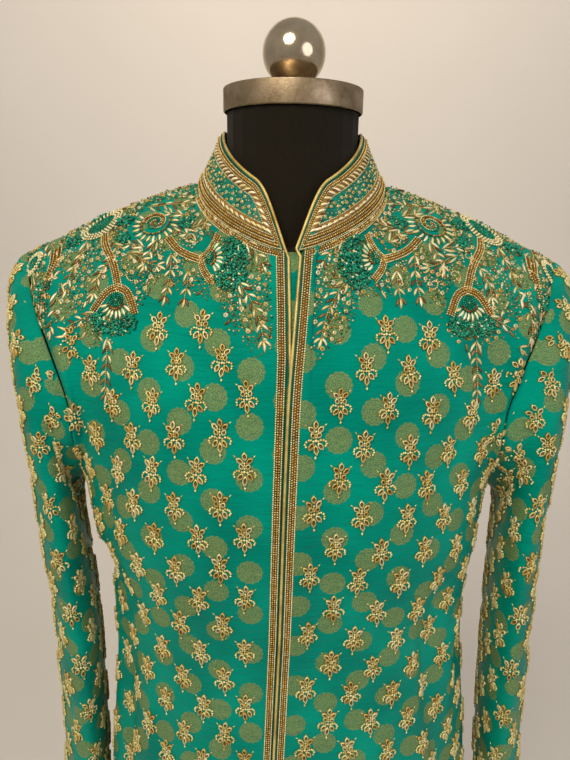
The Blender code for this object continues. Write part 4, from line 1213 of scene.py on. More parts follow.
DROP = [(0.0, 0.5), (-0.43, 0.16), (-0.40, -0.22), (0.0, -0.5), (0.40, -0.22), (0.43, 0.16)]
ROUND = [(0.5 * math.sin(-k * math.pi / 3), 0.5 * math.cos(k * math.pi / 3)) for k in range(6)]
BLADE = [(0.34, 0.5), (-0.22, 0.22), (-0.42, -0.12), (-0.10, -0.5), (0.22, -0.34), (0.40, 0.10)]
BLADE_BACK = [(-x, y) for x, y in reversed(BLADE)]
bead_verts = [(0.5, 0, 0.5), (0, 0.5, 0.5), (-0.5, 0, 0.5), (0, -0.5, 0.5), (0, 0, 1), (0, 0, 0)]
bead_faces = [f for k in range(4) for f in ((k, (k + 1) % 4, 4), ((k + 1) % 4, k, 5))]
shapes = bpy.data.collections.new("laid_shapes")
# The last tuple of each shape is its darkness from the outline in: at the outline it is painted
# shade, where the shape meets the cloth; inside petals and sequins it is the dark brown of their
# middle.
for thing in (cupped(PETAL, "petal", DROP, [(0.74, 1.0), (0.45, 0.2), (0.0, 0.1)],
                     (0.65, 0.0, 1.0, 0.8)),
              shape(BEAD, "bead", bead_verts, bead_faces, [0.0] * 6),
              cupped(SEQUIN, "sequin", ROUND, [(0.78, 1.0), (0.0, 0.2)], (0.2, 0.0, 1.0)),
              cupped(LEAF, "leaf", BLADE, [(0.62, 0.9), (0.0, 1.0)], (0.5, 0.0, 0.0)),
              cupped(LEAF_BACK, "leaf_back", BLADE_BACK, [(0.62, 0.9), (0.0, 1.0)],
                     (0.5, 0.0, 0.0))):
    shapes.objects.link(thing)
    print(thing.name, len(thing.data.polygons), "faces")

# %% [markdown]
# The seeds are bare points, and each carries its shape's number, its rotation, its size and its
# colour. A Geometry Nodes tree puts the right shape on each point and makes one mesh of them all.
# Python could copy the shapes too, but the tree does it far faster.

# %% A tree that lays the work
def new_tree(name, result, **inputs):
    """An empty Geometry Nodes tree with its inputs, and the sockets that give them."""
    tree = bpy.data.node_groups.new(name, "GeometryNodeTree")
    for title, kind in inputs.items():
        tree.interface.new_socket(title, in_out="INPUT", socket_type="NodeSocket" + kind)
    tree.interface.new_socket(result, in_out="OUTPUT", socket_type="NodeSocketGeometry")
    return tree, add(tree, "NodeGroupInput").outputs


def laid_work_tree():
    """Sets a shape on each seed, turned and sized as the seed says, and makes one mesh."""
    tree, given = new_tree("laid_work", "Work", Seeds="Geometry", Shapes="Collection",
                           Wobble="Float", Seed="Int", Thread="Material")

    def read(title, kind):
        return add(tree, "GeometryNodeInputNamedAttribute", {"Name": title}, data_type=kind)

    choice = add(tree, "GeometryNodeCollectionInfo",
                 {"Collection": given["Shapes"], "Separate Children": True,
                  "Reset Children": True})
    # No two stitches lie alike: each is rolled a little about its own axes.
    roll = add(tree, "FunctionNodeRandomValue", {0: (-1, -1, -1), 1: (1, 1, 1),
                                                 "Seed": given["Seed"]},
               data_type="FLOAT_VECTOR")
    roll = add(tree, "ShaderNodeVectorMath", {0: roll, "Scale": given["Wobble"]},
               operation="SCALE")
    roll = add(tree, "FunctionNodeEulerToRotation", {0: roll})
    turn = add(tree, "FunctionNodeRotateRotation", {0: read("turn", "QUATERNION"), 1: roll},
               rotation_space="LOCAL")
    work = add(tree, "GeometryNodeInstanceOnPoints",
               {"Points": given["Seeds"], "Instance": choice, "Pick Instance": True,
                "Instance Index": read("kind", "INT"), "Rotation": turn,
                "Scale": read("size", "FLOAT_VECTOR")})
    work = add(tree, "GeometryNodeRealizeInstances", {"Geometry": work})
    for title in ("turn", "size", "kind"):
        work = add(tree, "GeometryNodeRemoveAttribute", {"Geometry": work, "Name": title})
    work = add(tree, "GeometryNodeSetMaterial", {"Geometry": work,
                                                 "Material": given["Thread"]})
    add(tree, "NodeGroupOutput", {"Work": work})
    return tree


def grown(thing, tree, name, values):
    """Runs a tree on an object and keeps the result as a plain mesh."""
    modifier = thing.modifiers.new(name, "NODES")
    modifier.node_group = tree
    for item in tree.interface.items_tree:
        if item.in_out == "INPUT" and item.name in values:
            modifier[item.identifier] = values[item.name]
    bpy.context.view_layer.update()
    graph = bpy.context.evaluated_depsgraph_get()
    mesh = bpy.data.meshes.new_from_object(thing.evaluated_get(graph))
    thing.modifiers.clear()
    thing.data = mesh
    mesh.name = name
    return thing


laid_work = laid_work_tree()
print(laid_work.name, "inputs:", [s.name for s in laid_work.interface.items_tree
                                  if s.in_out == "INPUT"])

# %% [markdown]
# A motif is a list of stitches in flat millimetres about its middle. The class below collects
# them, places all of a panel's at once, drops what would fall off the panel's edge, and hands
# the seeds to the tree. Colours vary a little from stitch to stitch, as gilt does with wear.

# %% Laying stitches on a panel
GOLD = ("E6CC86", "D9B766", "C79F4E", "F0DDA0", "B58C42")
CREAM = ("F2E6B2", "EADB9E", "F8F0CA")
BUFF = ("E2D4A0", "D2C088", "ECE0B2")
OLIVE = ("8A8440", "A09654", "6E6C34")
DULL = ("80683E", "62492A", "927A4C", "6E5236")
BRONZE = ("8A5A22", "A26D2C", "704618")
EMERALD = ("0E8468", "14A082", "0B7058")
PALE = CREAM + GOLD[:2]
dice = random.Random(7)


class Work:
    """Laid work on one panel: stitches in flat metres, gathered first and sewn together."""

    def __init__(self, panel):
        self.panel, self.rows = panel, []

    def lay(self, kind, u, v, turn, width, length, height, colours, sunk=0.0001):
        """Adds a stitch: its shape, place, turn from up, size and colours to choose from."""
        colour = linear(dice.choice(colours))
        self.rows.append((kind, u, v, turn, width, length, height, colour, sunk))

    def sew(self, name, material, slot, wobble=0.12, spare=0.999):
        """Makes the stitches a mesh. Those more than spare steps past the edge are dropped."""
        flat = np.array([row[1:3] for row in self.rows])
        place, out, up, side, outside = self.panel.spots(flat)
        kept = [k for k in range(len(flat)) if outside[k] <= spare]
        thing = mesh_object(name, [tuple(place[k] - out[k] * self.rows[k][8]) for k in kept])
        turns, sizes, kinds, tints = [], [], [], []
        for k in kept:
            kind, _, _, turn, width, length, height, colour, _ = self.rows[k]
            c, s = math.cos(turn), math.sin(turn)
            frame_of = Matrix((side[k] * c - up[k] * s, up[k] * c + side[k] * s, out[k]))
            turns += frame_of.transposed().to_quaternion()[:]
            sizes += (width, length, height)
            kinds.append(kind)
            tints += colour
        for title, kind, key, values in (("turn", "QUATERNION", "value", turns),
                                         ("size", "FLOAT_VECTOR", "vector", sizes),
                                         ("kind", "INT", "value", kinds),
                                         ("tint", "FLOAT_COLOR", "color", tints)):
            thing.data.attributes.new(title, kind, "POINT").data.foreach_set(key, values)
        grown(thing, laid_work, name, {"Shapes": shapes, "Wobble": wobble, "Seed": 11,
                                       "Thread": material})
        settle(thing, slot)
        faces = sum(len(p.vertices) - 2 for p in thing.data.polygons)
        print(name, len(kept), "stitches,", faces, "triangles")


def mm(*values):
    """Millimetres as metres."""
    return [v / 1000 for v in values]


def jitter(amount):
    """A small random amount, up or down."""
    return dice.uniform(-amount, amount)


print("stitches take one of", len(GOLD), "golds or", len(CREAM), "creams, among others")

# %% [markdown]
# Much of the work follows lines, so a few functions handle flat paths: they space points evenly,
# move a path aside and round its corners. Everything happens in a panel's flat coordinates, where
# a line at a fixed distance from an edge is easy to find.

# %% Paths
def resampled(path, step):
    """Points at even steps along a flat path."""
    path = np.asarray(path, float)
    lengths = np.concatenate([[0.0], np.hypot(*np.diff(path, axis=0).T).cumsum()])
    count = max(int(round(lengths[-1] / step)), 1)
    stops = np.linspace(0.0, lengths[-1], count + 1)
    return np.stack([np.interp(stops, lengths, path[:, k]) for k in (0, 1)], axis=1)


def path_sides(path):
    """Unit direction and right-hand normal at each point of a flat path."""
    ahead = np.gradient(np.asarray(path, float), axis=0)
    ahead /= np.maximum(np.linalg.norm(ahead, axis=1, keepdims=True), 1e-9)
    return ahead, np.stack([ahead[:, 1], -ahead[:, 0]], axis=1)


def offset(path, distance):
    """The path moved to its right by a distance."""
    path = resampled(path, 0.0015)
    return path + path_sides(path)[1] * distance


def rounded(points, rounds=3):
    """A corner-cut copy of a rough path (Chaikin), its ends kept."""
    points = np.asarray(points, float)
    for _ in range(rounds):
        a, b = points[:-1], points[1:]
        cut = np.stack([0.75 * a + 0.25 * b, 0.25 * a + 0.75 * b], axis=1).reshape(-1, 2)
        points = np.concatenate([points[:1], cut, points[-1:]])
    return points


print("a corner of 3 points becomes", len(rounded([(0, 0), (1, 0), (1, 1)])), "points")

# %% [markdown]
# Both front edges and the collar are dressed in rows: a satin piping on the edge, a stripe of
# green satin, bronze tapes with rows of seed beads, and fine couched cords between them. A tape
# is a thin closed strip, swept along a path on the panel. A cord is a row of stitches.

# %% Tapes, cords and rows of beads
class Tapes:
    """Strips on one panel, all of one material."""

    def __init__(self, panel):
        self.panel, self.verts, self.faces = panel, [], []

    def lay(self, path, width, height, step=0.0025):
        """Adds a strip along a flat path, broken where the path leaves the panel."""
        path = resampled(path, step)
        right = path_sides(path)[1]
        shares = np.array([-0.5, -0.40, 0.0, 0.40, 0.5])
        lifts = np.array([-0.0003, 0.85, 1.0, 0.85, -0.0003])
        lifts[1:4] *= height
        flat = path[:, None] + right[:, None] * (shares * width)[None, :, None]
        place, out, _, _, outside = self.panel.spots(flat.reshape(-1, 2))
        points = place + out * np.tile(lifts, len(path))[:, None]
        inside = (outside.reshape(len(path), -1) <= 1.6).all(axis=1)
        rows = points.reshape(len(path), 5, 3)
        run = []
        for row, fine in [*zip(rows, inside), (None, False)]:
            if fine:
                run.append(row)
            else:
                self.close(run)
                run = []

    def close(self, run):
        """Closes a run of sections into one solid strip."""
        if len(run) < 2:
            return
        base = len(self.verts)
        self.verts += [tuple(p) for row in run for p in row]
        for i in range(len(run) - 1):
            for k in range(5):
                n = (k + 1) % 5
                self.faces.append((base + i * 5 + k, base + i * 5 + n,
                                   base + (i + 1) * 5 + n, base + (i + 1) * 5 + k))
        last = base + (len(run) - 1) * 5
        self.faces += [tuple(range(base, base + 5)), tuple(range(last + 4, last - 1, -1))]

    def make(self, name, material, slot, *replaced):
        """Makes the strips a mesh with all faces outwards."""
        thing = mesh_object(name, self.verts, faces=self.faces, material=material)
        outward = bmesh.new()
        outward.from_mesh(thing.data)
        bmesh.ops.recalc_face_normals(outward, faces=outward.faces)
        outward.to_mesh(thing.data)
        outward.free()
        settle(thing, slot, *replaced)
        print(name, len(thing.data.polygons), "faces")


def couch(work, path, width=1.0, pitch=1.7, height=0.9, colours=CREAM, slant=0.0,
          kind=BEAD, length=None):
    """A row of stitches or beads along a path."""
    path = resampled(path, pitch / 1000)
    ahead, _ = path_sides(path)
    for (u, v), (du, dv) in zip(path, ahead):
        work.lay(kind, u, v, math.atan2(du, dv) + slant,
                 *mm(width, pitch * 1.15 if length is None else length, height), colours)


def bead_row(work, path, colours=CREAM, size=1.25, pitch=2.0, lift=0.0006):
    """A row of round beads along a path, each lifted off the cloth."""
    for u, v in resampled(path, pitch / 1000):
        work.lay(BEAD, u, v, 0.0, *mm(size, size, size), colours, -lift)


print("a cord has a stitch every", couch.__defaults__[1], "mm")

# %% [markdown]
# The sprig, or butta, is the motif that covers the coat: a small upright spray of gilt loops with
# dark gaps, about 32 mm high, with beaded arms and fine spikes. A table lists its stitches, and
# each copy is a little off, because hands made it.

# %% The sprig
# kind, across, up, turn in degrees, width, length; all but the middle ones are mirrored. mm.
SPRIG = (
    (PETAL, 0.0, 11.8, 0, 5.4, 8.4),
    (PETAL, 3.9, 8.4, 48, 5.2, 8.6),
    (PETAL, 2.9, 3.7, 22, 5.0, 6.2),
    (PETAL, 3.9, -4.8, 146, 5.2, 9.0),
    (PETAL, 0.0, -8.2, 180, 5.2, 10.6),
    (BEAD, 0.0, 6.6, 0, 2.6, 2.6),
    (BEAD, 0.0, 4.4, 0, 2.2, 2.4),
    (BEAD, 0.0, 2.2, 0, 2.2, 2.6),
    (BEAD, 0.0, -0.4, 0, 3.2, 3.0),
    (BEAD, 2.2, -0.8, 0, 2.7, 2.5),
    (BEAD, 4.1, 0.2, 0, 2.7, 2.5),
    (BEAD, 6.1, 0.3, 0, 2.7, 2.5),
    (BEAD, 7.8, -0.9, 0, 2.7, 2.5),
    (BEAD, 8.6, -2.8, 0, 2.5, 2.7),
    (BEAD, 8.1, -4.7, 0, 2.2, 2.5),
    (BEAD, 7.9, 12.0, 48, 1.2, 3.6),
    (BEAD, 0.0, -14.4, 0, 2.2, 3.6),
)
SPRIG_HEIGHT = 2.2
GILT = ("F8EAA4", "EFDA8C", "FBF1B4", "DCC070")


def sprig(work, u, v, bend):
    """One sprig at a place in metres, each stitch a little off its place in the table."""
    lean, grow = math.radians(jitter(5)), 1 + jitter(0.05)
    c, s = math.cos(lean), math.sin(lean)
    for kind, across, rise, turn, width, length in SPRIG:
        for side in (1, -1) if across else (1,):
            x, y = side * across * grow + jitter(0.25), rise * grow + jitter(0.25)
            du, dv = bend @ (x * c + y * s, y * c - x * s) / 1000
            height = SPRIG_HEIGHT if kind == PETAL or width > 2 else 0.9
            work.lay(kind, u + du, v + dv, lean + side * math.radians(turn + jitter(6)),
                     *mm(width * grow, length * grow, height), GILT)


print("stitches of a sprig:", sum(2 if row[1] else 1 for row in SPRIG))

# %% [markdown]
# The sprigs stand in columns two centimetres apart, every other column half a step lower. One
# that would run into the bands or the yoke is left out. One that would be cut by a seam is moved
# in a little, since an embroiderer keeps the motifs whole.

# %% Sprigs over the panels
# panel: u and v of one sprig, pitch across and up, how v falls per u away from the centre. mm.
SPRIG_ROWS = {
    "front_right": (-13.0, 1262.0, 20.4, 60.0, 0.17),
    "front_left": (22.0, 1256.8, 20.3, 62.0, 0.18),
    "back": (0.0, 1250.0, 20.4, 60.0, 0.10),
    "sleeve_left": (0.0, 1230.0, 20.0, 60.0, 0.0),
    "sleeve_right": (0.0, 1222.0, 20.0, 60.0, 0.0),
}
YOKE_EDGE = (    # |u| and v of the lower edge of the yoke's work, mm: no sprigs above it
    (0, 1335), (26, 1326), (48, 1346), (62, 1372), (124, 1374), (142, 1340), (158, 1322),
    (178, 1320), (205, 1345), (250, 1360), (400, 1360),
)


# How far the middle of a sprig keeps off the hem, the yoke and the front edges, mm.
SPRIG_CLEAR = {"hem": 17, "yoke": 12, "front_left": 18, "front_right": 21}


def sprig_places(panel):
    """Places in mm for the sprigs of a panel, above its hem and below the yoke."""
    u0, v0, across, rise, fall = SPRIG_ROWS[panel.name]
    lowest = panel.v.min() * 1000 + SPRIG_CLEAR["hem"]
    for k in range(-18, 19):
        u = u0 + k * across
        for n in range(-16, 8):
            v = v0 + rise * n + (rise / 2 if k % 2 else 0) - fall * (abs(u) - abs(u0))
            highest = np.interp(abs(u), *zip(*YOKE_EDGE))
            if v >= lowest and (panel.closed or v + SPRIG_CLEAR["yoke"] <= highest):
                yield u + jitter(1.0), v + jitter(1.2)


def near_band(panel, u, v):
    """Whether a sprig would run into the bands beside the opening."""
    if "front" not in panel.name:
        return False
    row = np.abs(panel.v[:, 0] * 1000 - v).argmin()
    return panel.side * (u - panel.u[row, 0] * 1000) < SPRIG_CLEAR[panel.name]


FEELERS = np.array([(0, 0), (9, 0), (-9, 0), (0, 14), (0, -14)])     # a sprig's middle and tips
NUDGES = (0, 5, 10, 15)     # mm a sprig at a seam may be moved, inwards and a little down


def unstretched(panel, place, reach=0.006):
    """What undoes the stretch of the flat coordinates at a place, so that a shape stays whole."""
    around = np.array([(1, 0), (-1, 0), (0, 1), (0, -1), (0, 0)]) * reach
    points, _, up, side, _ = panel.spots(place + around)
    wide, tall = (points[0] - points[1]) / (2 * reach), (points[2] - points[3]) / (2 * reach)
    stretch = np.array([[wide @ side[4], tall @ side[4]], [wide @ up[4], tall @ up[4]]])
    return np.linalg.inv(stretch) if 0.3 < abs(np.linalg.det(stretch)) < 3 else np.eye(2)


SPRIG_SPARE = 0.5           # steps of the grid that its tips may reach past the panel's edge


def fitted(panel, spots):
    """The spots where a sprig lies whole on the panel, moved away from a seam if need be."""
    for u, v in spots:
        for nudge in NUDGES:
            place = np.array((u - math.copysign(nudge, u), v - 0.5 * nudge)) / 1000
            bend = unstretched(panel, place)
            if panel.spots(place + FEELERS @ bend.T / 1000)[4].max() <= SPRIG_SPARE:
                yield *place, bend
                break


for name, panel in panels.items():
    work = Work(panel)
    spots = [(u, v) for u, v in sprig_places(panel) if not near_band(panel, u, v)]
    for u, v, bend in fitted(panel, spots):
        sprig(work, u, v, bend)
    work.sew("sprigs_" + name, gilt_thread, "zardozi_border")

# %% [markdown]
# The front bands run from the hem up to the collar and there turn along the neckline, as on a
# coat whose border is one strip. Two offset paths are cut where they cross, so each corner is
# mitred.

# %% Bands beside the opening
def joined(first, second):
    """Two flat paths cut where they come nearest and put end to end."""
    first, second = np.asarray(first), np.asarray(second)
    gaps = ((first[:, None] - second[None]) ** 2).sum(axis=2)
    i, j = np.unravel_index(gaps.argmin(), gaps.shape)
    return np.concatenate([first[:i + 1], second[j:]])


def front_line(panel):
    """The visible front edge in flat coordinates, from the hem up."""
    u, v = panel.u[:, 0].copy(), panel.v[:, 0]
    if panel.name == "front_right":
        z = panel.points[:, 0, 2]
        lean = np.array([column(OPENING_LEAN, h, 1) for h in z])
        u = np.minimum(lean - 0.0018, u - 0.0004)
    return np.stack([u, v], axis=1)


def neck_line(panel, middle=0, step=1):
    """The neckline's end of a panel in flat coordinates, from the middle out."""
    last = middle + step * NECK_COLS * FINER
    columns = range(middle, last + step, step)
    return np.array([(panel.u[-1, j], panel.v[-1, j]) for j in columns])


def band_paths(panel, distance):
    """The path of a row, a distance in from the front edge and from the neckline."""
    if panel.name == "back":
        middle = COLS * FINER
        both = np.concatenate([neck_line(panel, middle, 1)[::-1], neck_line(panel, middle, -1)[1:]])
        # u falls along the columns, so this path runs towards +u and its right side is down.
        return offset(both, distance)
    return joined(offset(front_line(panel), panel.side * distance),
                  offset(neck_line(panel), panel.side * (distance - 0.0016)))


bands = {}
for name in ("front_left", "front_right", "back"):
    panel = panels[name]
    green, bronze, rows = Tapes(panel), Tapes(panel), Work(panel)
    if name != "back":
        green.lay(offset(front_line(panel), panel.side * 0.0009), 0.0016, 0.0005, 0.005)
    bronze.lay(band_paths(panel, 0.0050), 0.0044, 0.0008)
    couch(rows, band_paths(panel, 0.0022), 1.6, 1.8, 1.5, CREAM)
    for distance in (0.0040, 0.0060):
        bead_row(rows, band_paths(panel, distance), GOLD[:4], 1.7, 2.2, 0.0005)
    couch(rows, band_paths(panel, 0.0078), 1.7, 1.8, 1.5, CREAM)
    if name != "back":
        green.make("green_stripe_" + name, green_satin, "gold_satin")
    replaced = [] if name == "back" else ["border_" + name.split("_")[1]]
    bronze.make("bronze_tape_" + name, bronze_tape, "zardozi_border", *replaced)
    rows.sew("band_beads_" + name, glass_bead, "zardozi_border", 0.06)

# %% [markdown]
# The stand collar is a stiff band that leans in towards the neck and ends in two curves at the
# front. Its own flat coordinates run round the neck and up from the seam, and every line on it is
# a fixed distance from the top edge or from the seam.

# %% Collar
COLLAR_SILK = 0.0022
COLLAR_HEIGHT = 0.047
COLLAR_TOP_HALF_WIDTH = 0.0619
COLLAR_TOP_FRONT_Y = -0.0702
COLLAR_TOP_BACK_Y = 0.0655
COLLAR_END_DEG = 4.0      # the front ends start this far from the centre front
COLLAR_CURVE_DEG = 26.0   # and reach full height over this much of the ring


def collar_rise(degrees):
    """The collar's height at an angle from the centre front: its front ends are curved."""
    along = min(max((degrees - COLLAR_END_DEG) / COLLAR_CURVE_DEG, 0.0), 1.0)
    return COLLAR_HEIGHT * (0.04 + 0.96 * (1 - (1 - along) ** 2.1))


def smooth_collar(turn, share):
    """A point of the collar, turn from the centre front round, share from seam to top edge."""
    side = 1 if math.sin(turn) >= 0 else -1
    from_front = turn if turn <= math.pi else 2 * math.pi - turn
    face = -1 if from_front <= math.pi / 2 else 1
    quarter = from_front if face < 0 else math.pi - from_front
    base = Vector(neckline(quarter, face))
    lean_y = COLLAR_TOP_FRONT_Y - NECK_FRONT[0] if face < 0 else COLLAR_TOP_BACK_Y - NECK_BACK[0]
    rise = math.sqrt(COLLAR_HEIGHT**2 - (NECK_HALF_WIDTH - COLLAR_TOP_HALF_WIDTH) ** 2)
    top = Vector((base.x * COLLAR_TOP_HALF_WIDTH / NECK_HALF_WIDTH,
                  base.y + lean_y * math.cos(quarter), base.z + rise))
    height = collar_rise(math.degrees(from_front)) / COLLAR_HEIGHT
    point = base.lerp(top, share * height)
    return side * point.x, point.y, point.z


half_way = np.concatenate([np.arange(COLLAR_END_DEG, 34, 1.0), np.arange(34, 180, 3.0), [180.0]])
degrees = np.concatenate([half_way, 360 - half_way[-2::-1]])
shares = np.linspace(0.0, 1.0, 13)
grid = np.array([[smooth_collar(math.radians(d), s) for d in degrees] for s in shares])
middle_row = np.array([smooth_collar(math.radians(d), 0.5) for d in degrees])
around = np.concatenate([[0.0], np.linalg.norm(np.diff(middle_row, axis=0), axis=1).cumsum()])
rises = np.array([collar_rise(min(d, 360 - d)) for d in degrees])
collar = Panel("collar", grid, np.tile(around, (len(shares), 1)), shares[:, None] * rises[None])
collar_cloth = grid_object("cloth_collar", collar, collar_silk, COLLAR_SILK)
settle(collar_cloth, "zardozi_border", "collar")
print("collar", round(around[-1], 4), "m round, height", COLLAR_HEIGHT)

# %% [markdown]
# Rows run inwards from the top edge and from the seam: cords, tapes with beads on them, and a
# braid of slanted petals on a gold tape. The field between is strewn with sequins and emerald
# beads. A row stops where its partner from the other side would cross it, so the ends are pointed.

# %% Rows of the collar
FIELD_TOP = 0.0156               # the strewn field ends this far below the top edge
top_line = np.stack([around, rises], axis=1)
seam_line = np.stack([around, rises * 0], axis=1)


def from_top(path):
    """Distance of each point of a flat path from the collar's top edge."""
    fine = resampled(top_line, 0.0008)
    return np.sqrt(((path[:, None] - fine[None]) ** 2).sum(axis=2).min(axis=1))


def collar_row(top=None, seam=None, partner=0.0):
    """A line a distance below the top edge or above the seam, as far as its partner reaches."""
    if top is not None:
        path = offset(top_line, top)
        kept = path[(path[:, 1] >= partner)]
    else:
        path = offset(seam_line, -seam)
        kept = path[(from_top(path) >= partner) & (path[:, 1] > 0)]
    return kept[(kept[:, 0] > 0) & (kept[:, 0] < around[-1])]


def scattered(wide, low, high, gap, tries):
    """Random places that keep a distance from each other, in mm."""
    cells, kept = {}, []
    for _ in range(tries):
        u, v = dice.uniform(0, wide), dice.uniform(low, high)
        i, j = int(u / gap), int(v / gap)
        near = [p for a in (-1, 0, 1) for b in (-1, 0, 1) for p in cells.get((i + a, j + b), ())]
        if all((u - a) ** 2 + (v - b) ** 2 >= gap * gap for a, b in near):
            cells.setdefault((i, j), []).append((u, v))
            kept.append((u, v))
    return kept


stripe, bronze, rows, petals = Tapes(collar), Tapes(collar), Work(collar), Work(collar)
stripe.lay(collar_row(top=0.0011, partner=0.001), 0.0018, 0.0004)
for top, seam in ((0.0026, 0.0008), (0.0068, 0.0054), (0.0134, 0.0166)):
    couch(rows, collar_row(top=top, partner=seam), 1.2, 1.7, 1.2, PALE)
    couch(rows, collar_row(seam=seam, partner=top), 1.2, 1.7, 1.2, PALE)
couch(rows, collar_row(seam=0.0100, partner=0.0078), 1.2, 1.7, 1.2, PALE)
for path in (collar_row(top=0.0047, partner=0.003), collar_row(seam=0.0031, partner=0.0047),
             collar_row(seam=0.0077, partner=0.0080)):
    bronze.lay(path, 0.0038, 0.0007)
    bead_row(rows, path, GOLD[:3], 1.9, 2.0, 0.0004)
gold = Tapes(collar)
for path, slant in ((collar_row(top=0.0101, partner=0.0125), 0.42),
                    (collar_row(seam=0.0133, partner=0.0130), -0.42)):
    middle = around[-1] / 2
    gold.lay(path, 0.0062, 0.0003)
    for half, turn in ((path[path[:, 0] <= middle], slant), (path[path[:, 0] > middle], -slant)):
        if len(half) > 4:
            couch(petals, half[1:], 3.5, 5.8, 1.5, CREAM, turn, LEAF, 9.8)
            couch(petals, half[2:] + [0.0029, 0.0], 3.3, 5.8, 1.2, DULL, turn, LEAF, 9.2)
FIELD = (18.0, 32.5)             # the strewn field lies between these heights, mm
for gap, tries in ((4.2, 2500), (1.9, 5000)):
    for u, v in scattered(around[-1] * 1000, *FIELD, gap, tries):
        u, v, pick = u / 1000, v / 1000, dice.random()
        if v > np.interp(u, around, rises) or from_top(np.array([[u, v]]))[0] < FIELD_TOP:
            continue
        if gap > 4:
            rows.lay(SEQUIN, u, v, 0.0, *mm(3.0, 3.0, 1.2), CREAM[1:2] + GOLD[:2])
        elif pick < 0.35:
            rows.lay(BEAD, u, v, 0.0, *mm(1.3, 1.3, 1.2), PALE)
        elif pick < 0.85:
            rows.lay(BEAD, u, v, 0.0, *mm(1.6, 1.6, 1.2), EMERALD)
stripe.make("green_stripe_collar", green_satin, "gold_satin")
bronze.make("bronze_tape_collar", bronze_tape, "zardozi_border")
gold.make("gold_tape_collar", gold_tape, "zardozi_border")
rows.sew("collar_beads", glass_bead, "zardozi_border", 0.08)
petals.sew("collar_petals", gilt_thread, "zardozi_border", 0.10)

# %% [markdown]
# Piping is a bias strip of satin round a thin cord, sewn into the edge. It is a curve with a
# round section, and Geometry Nodes sweeps it along the panel's own edge.

# %% Piping
def piping_tree():
    """Sweeps a round section along the edges of a mesh."""
    tree, given = new_tree("piping", "Piping", Edge="Geometry", Radius="Float", Sides="Int",
                           Satin="Material")
    path = add(tree, "GeometryNodeMeshToCurve", {"Mesh": given["Edge"]})
    section = add(tree, "GeometryNodeCurvePrimitiveCircle", {"Resolution": given["Sides"],
                                                             "Radius": given["Radius"]})
    cord = add(tree, "GeometryNodeCurveToMesh", {"Curve": path, "Profile Curve": section,
                                                 "Fill Caps": True})
    cord = add(tree, "GeometryNodeSetShadeSmooth", {"Geometry": cord})
    cord = add(tree, "GeometryNodeRealizeInstances", {"Geometry": cord})
    cord = add(tree, "GeometryNodeSetMaterial", {"Geometry": cord, "Material": given["Satin"]})
    add(tree, "NodeGroupOutput", {"Piping": cord})
    return tree


PIPING_R = 0.00115
piping = piping_tree()


def pipe(name, points, *replaced):
    """A piping along points, in place of the solids it replaces."""
    thing = mesh_object(name, [tuple(p) for p in points],
                        [(k, k + 1) for k in range(len(points) - 1)])
    grown(thing, piping, name, {"Radius": PIPING_R, "Sides": 10, "Satin": piping_satin})
    settle(thing, "gold_satin", *replaced)
    print(name, len(thing.data.polygons), "faces")


top = collar.points[-1] - collar.normals[-1] * COLLAR_SILK / 2
beyond = np.cross(collar.normals[-1], np.gradient(top, axis=0))
beyond /= np.linalg.norm(beyond, axis=1, keepdims=True)
top = top + beyond * PIPING_R
pipe("satin_piping_collar", top, "piping_collar")
for side, name, corner in ((1, "left", top[0]), (-1, "right", top[-1])):
    panel = panels["front_" + name]
    edge = panel.points[:, 0] - panel.normals[:, 0] * SILK_THICKNESS / 2
    edge = edge - np.array([side, 0.0, 0.0]) * (PIPING_R + 0.0001)
    # The last stretch leads over to the end of the collar's own piping.
    pipe("satin_piping_" + name, np.concatenate([edge[:-1], [corner]]), "piping_" + name)

# %% [markdown]
# A strip of the same brocade lies behind the opening, so that no form shows between the two
# fronts. It follows the right edge a little deeper.

# %% The strip behind the opening
UNDERLAP_Z = (1.240, 1.404)
UNDERLAP_X = (-0.0095, 0.0125)
UNDERLAP_DEPTH = 0.0025          # behind the surface of the right front
UNDERLAP_SILK = 0.0015
right = panels["front_right"]
grid = []
for place, out in zip(right.points[:, 0], right.normals[:, 0]):
    if UNDERLAP_Z[0] < place[2] < UNDERLAP_Z[1]:
        lean = column(OPENING_LEAN, place[2], 1)
        grid.append([np.array([lean + x, place[1], place[2]]) - out * UNDERLAP_DEPTH
                     for x in np.linspace(*UNDERLAP_X, 9)])
grid = np.array(grid)
strip = Panel("underlap", grid, grid[..., 0], grid[..., 2])
underlap = grid_object("cloth_underlap", strip, silk_brocade, UNDERLAP_SILK)
settle(underlap, "emerald_brocade", "underlap")
float(np.ptp(grid[..., 0]))
float(np.ptp(grid[..., 2]))
print("underlap", grid.shape[:2])

# %% [markdown]
# Over the shoulders lies the heaviest work: flowers with a filled heart, spirals with a fan of
# rays, beaded stems that fork, hanging sprays of paired leaves, and between them ring sequins and
# beads. It is dense at the seam and thins out down the chest. The motifs are common ones of this
# craft, laid out afresh here. The round ones come first.

# %% Motifs of the yoke
def circle(u, v, radius, start=0.0, stop=360.0):
    """A flat arc in mm about a place, angles in degrees clockwise from up."""
    turns = np.radians(np.linspace(start, stop, max(int(abs(stop - start) / 8), 3)))
    return np.stack([u + radius * np.sin(turns), v + radius * np.cos(turns)], axis=1) / 1000


def heart(work, u, v, radius):
    """A round filled with emerald beads in rings."""
    while radius > 0.4:
        bead_row(work, circle(u, v, radius), EMERALD, 2.2, 1.9, 0.0)
        radius -= 1.7
    work.lay(BEAD, u / 1000, v / 1000, 0.0, *mm(2.4, 2.4, 2.0), GOLD)


def leaf(work, u, v, turn, length, width, colours, side=1):
    """A leaf of satin stitch whose foot is at a place in metres."""
    reach = length * 0.46 / 1000
    work.lay(LEAF if side > 0 else LEAF_BACK, u + reach * math.sin(turn),
             v + reach * math.cos(turn), turn, *mm(width, length, 1.15), colours)


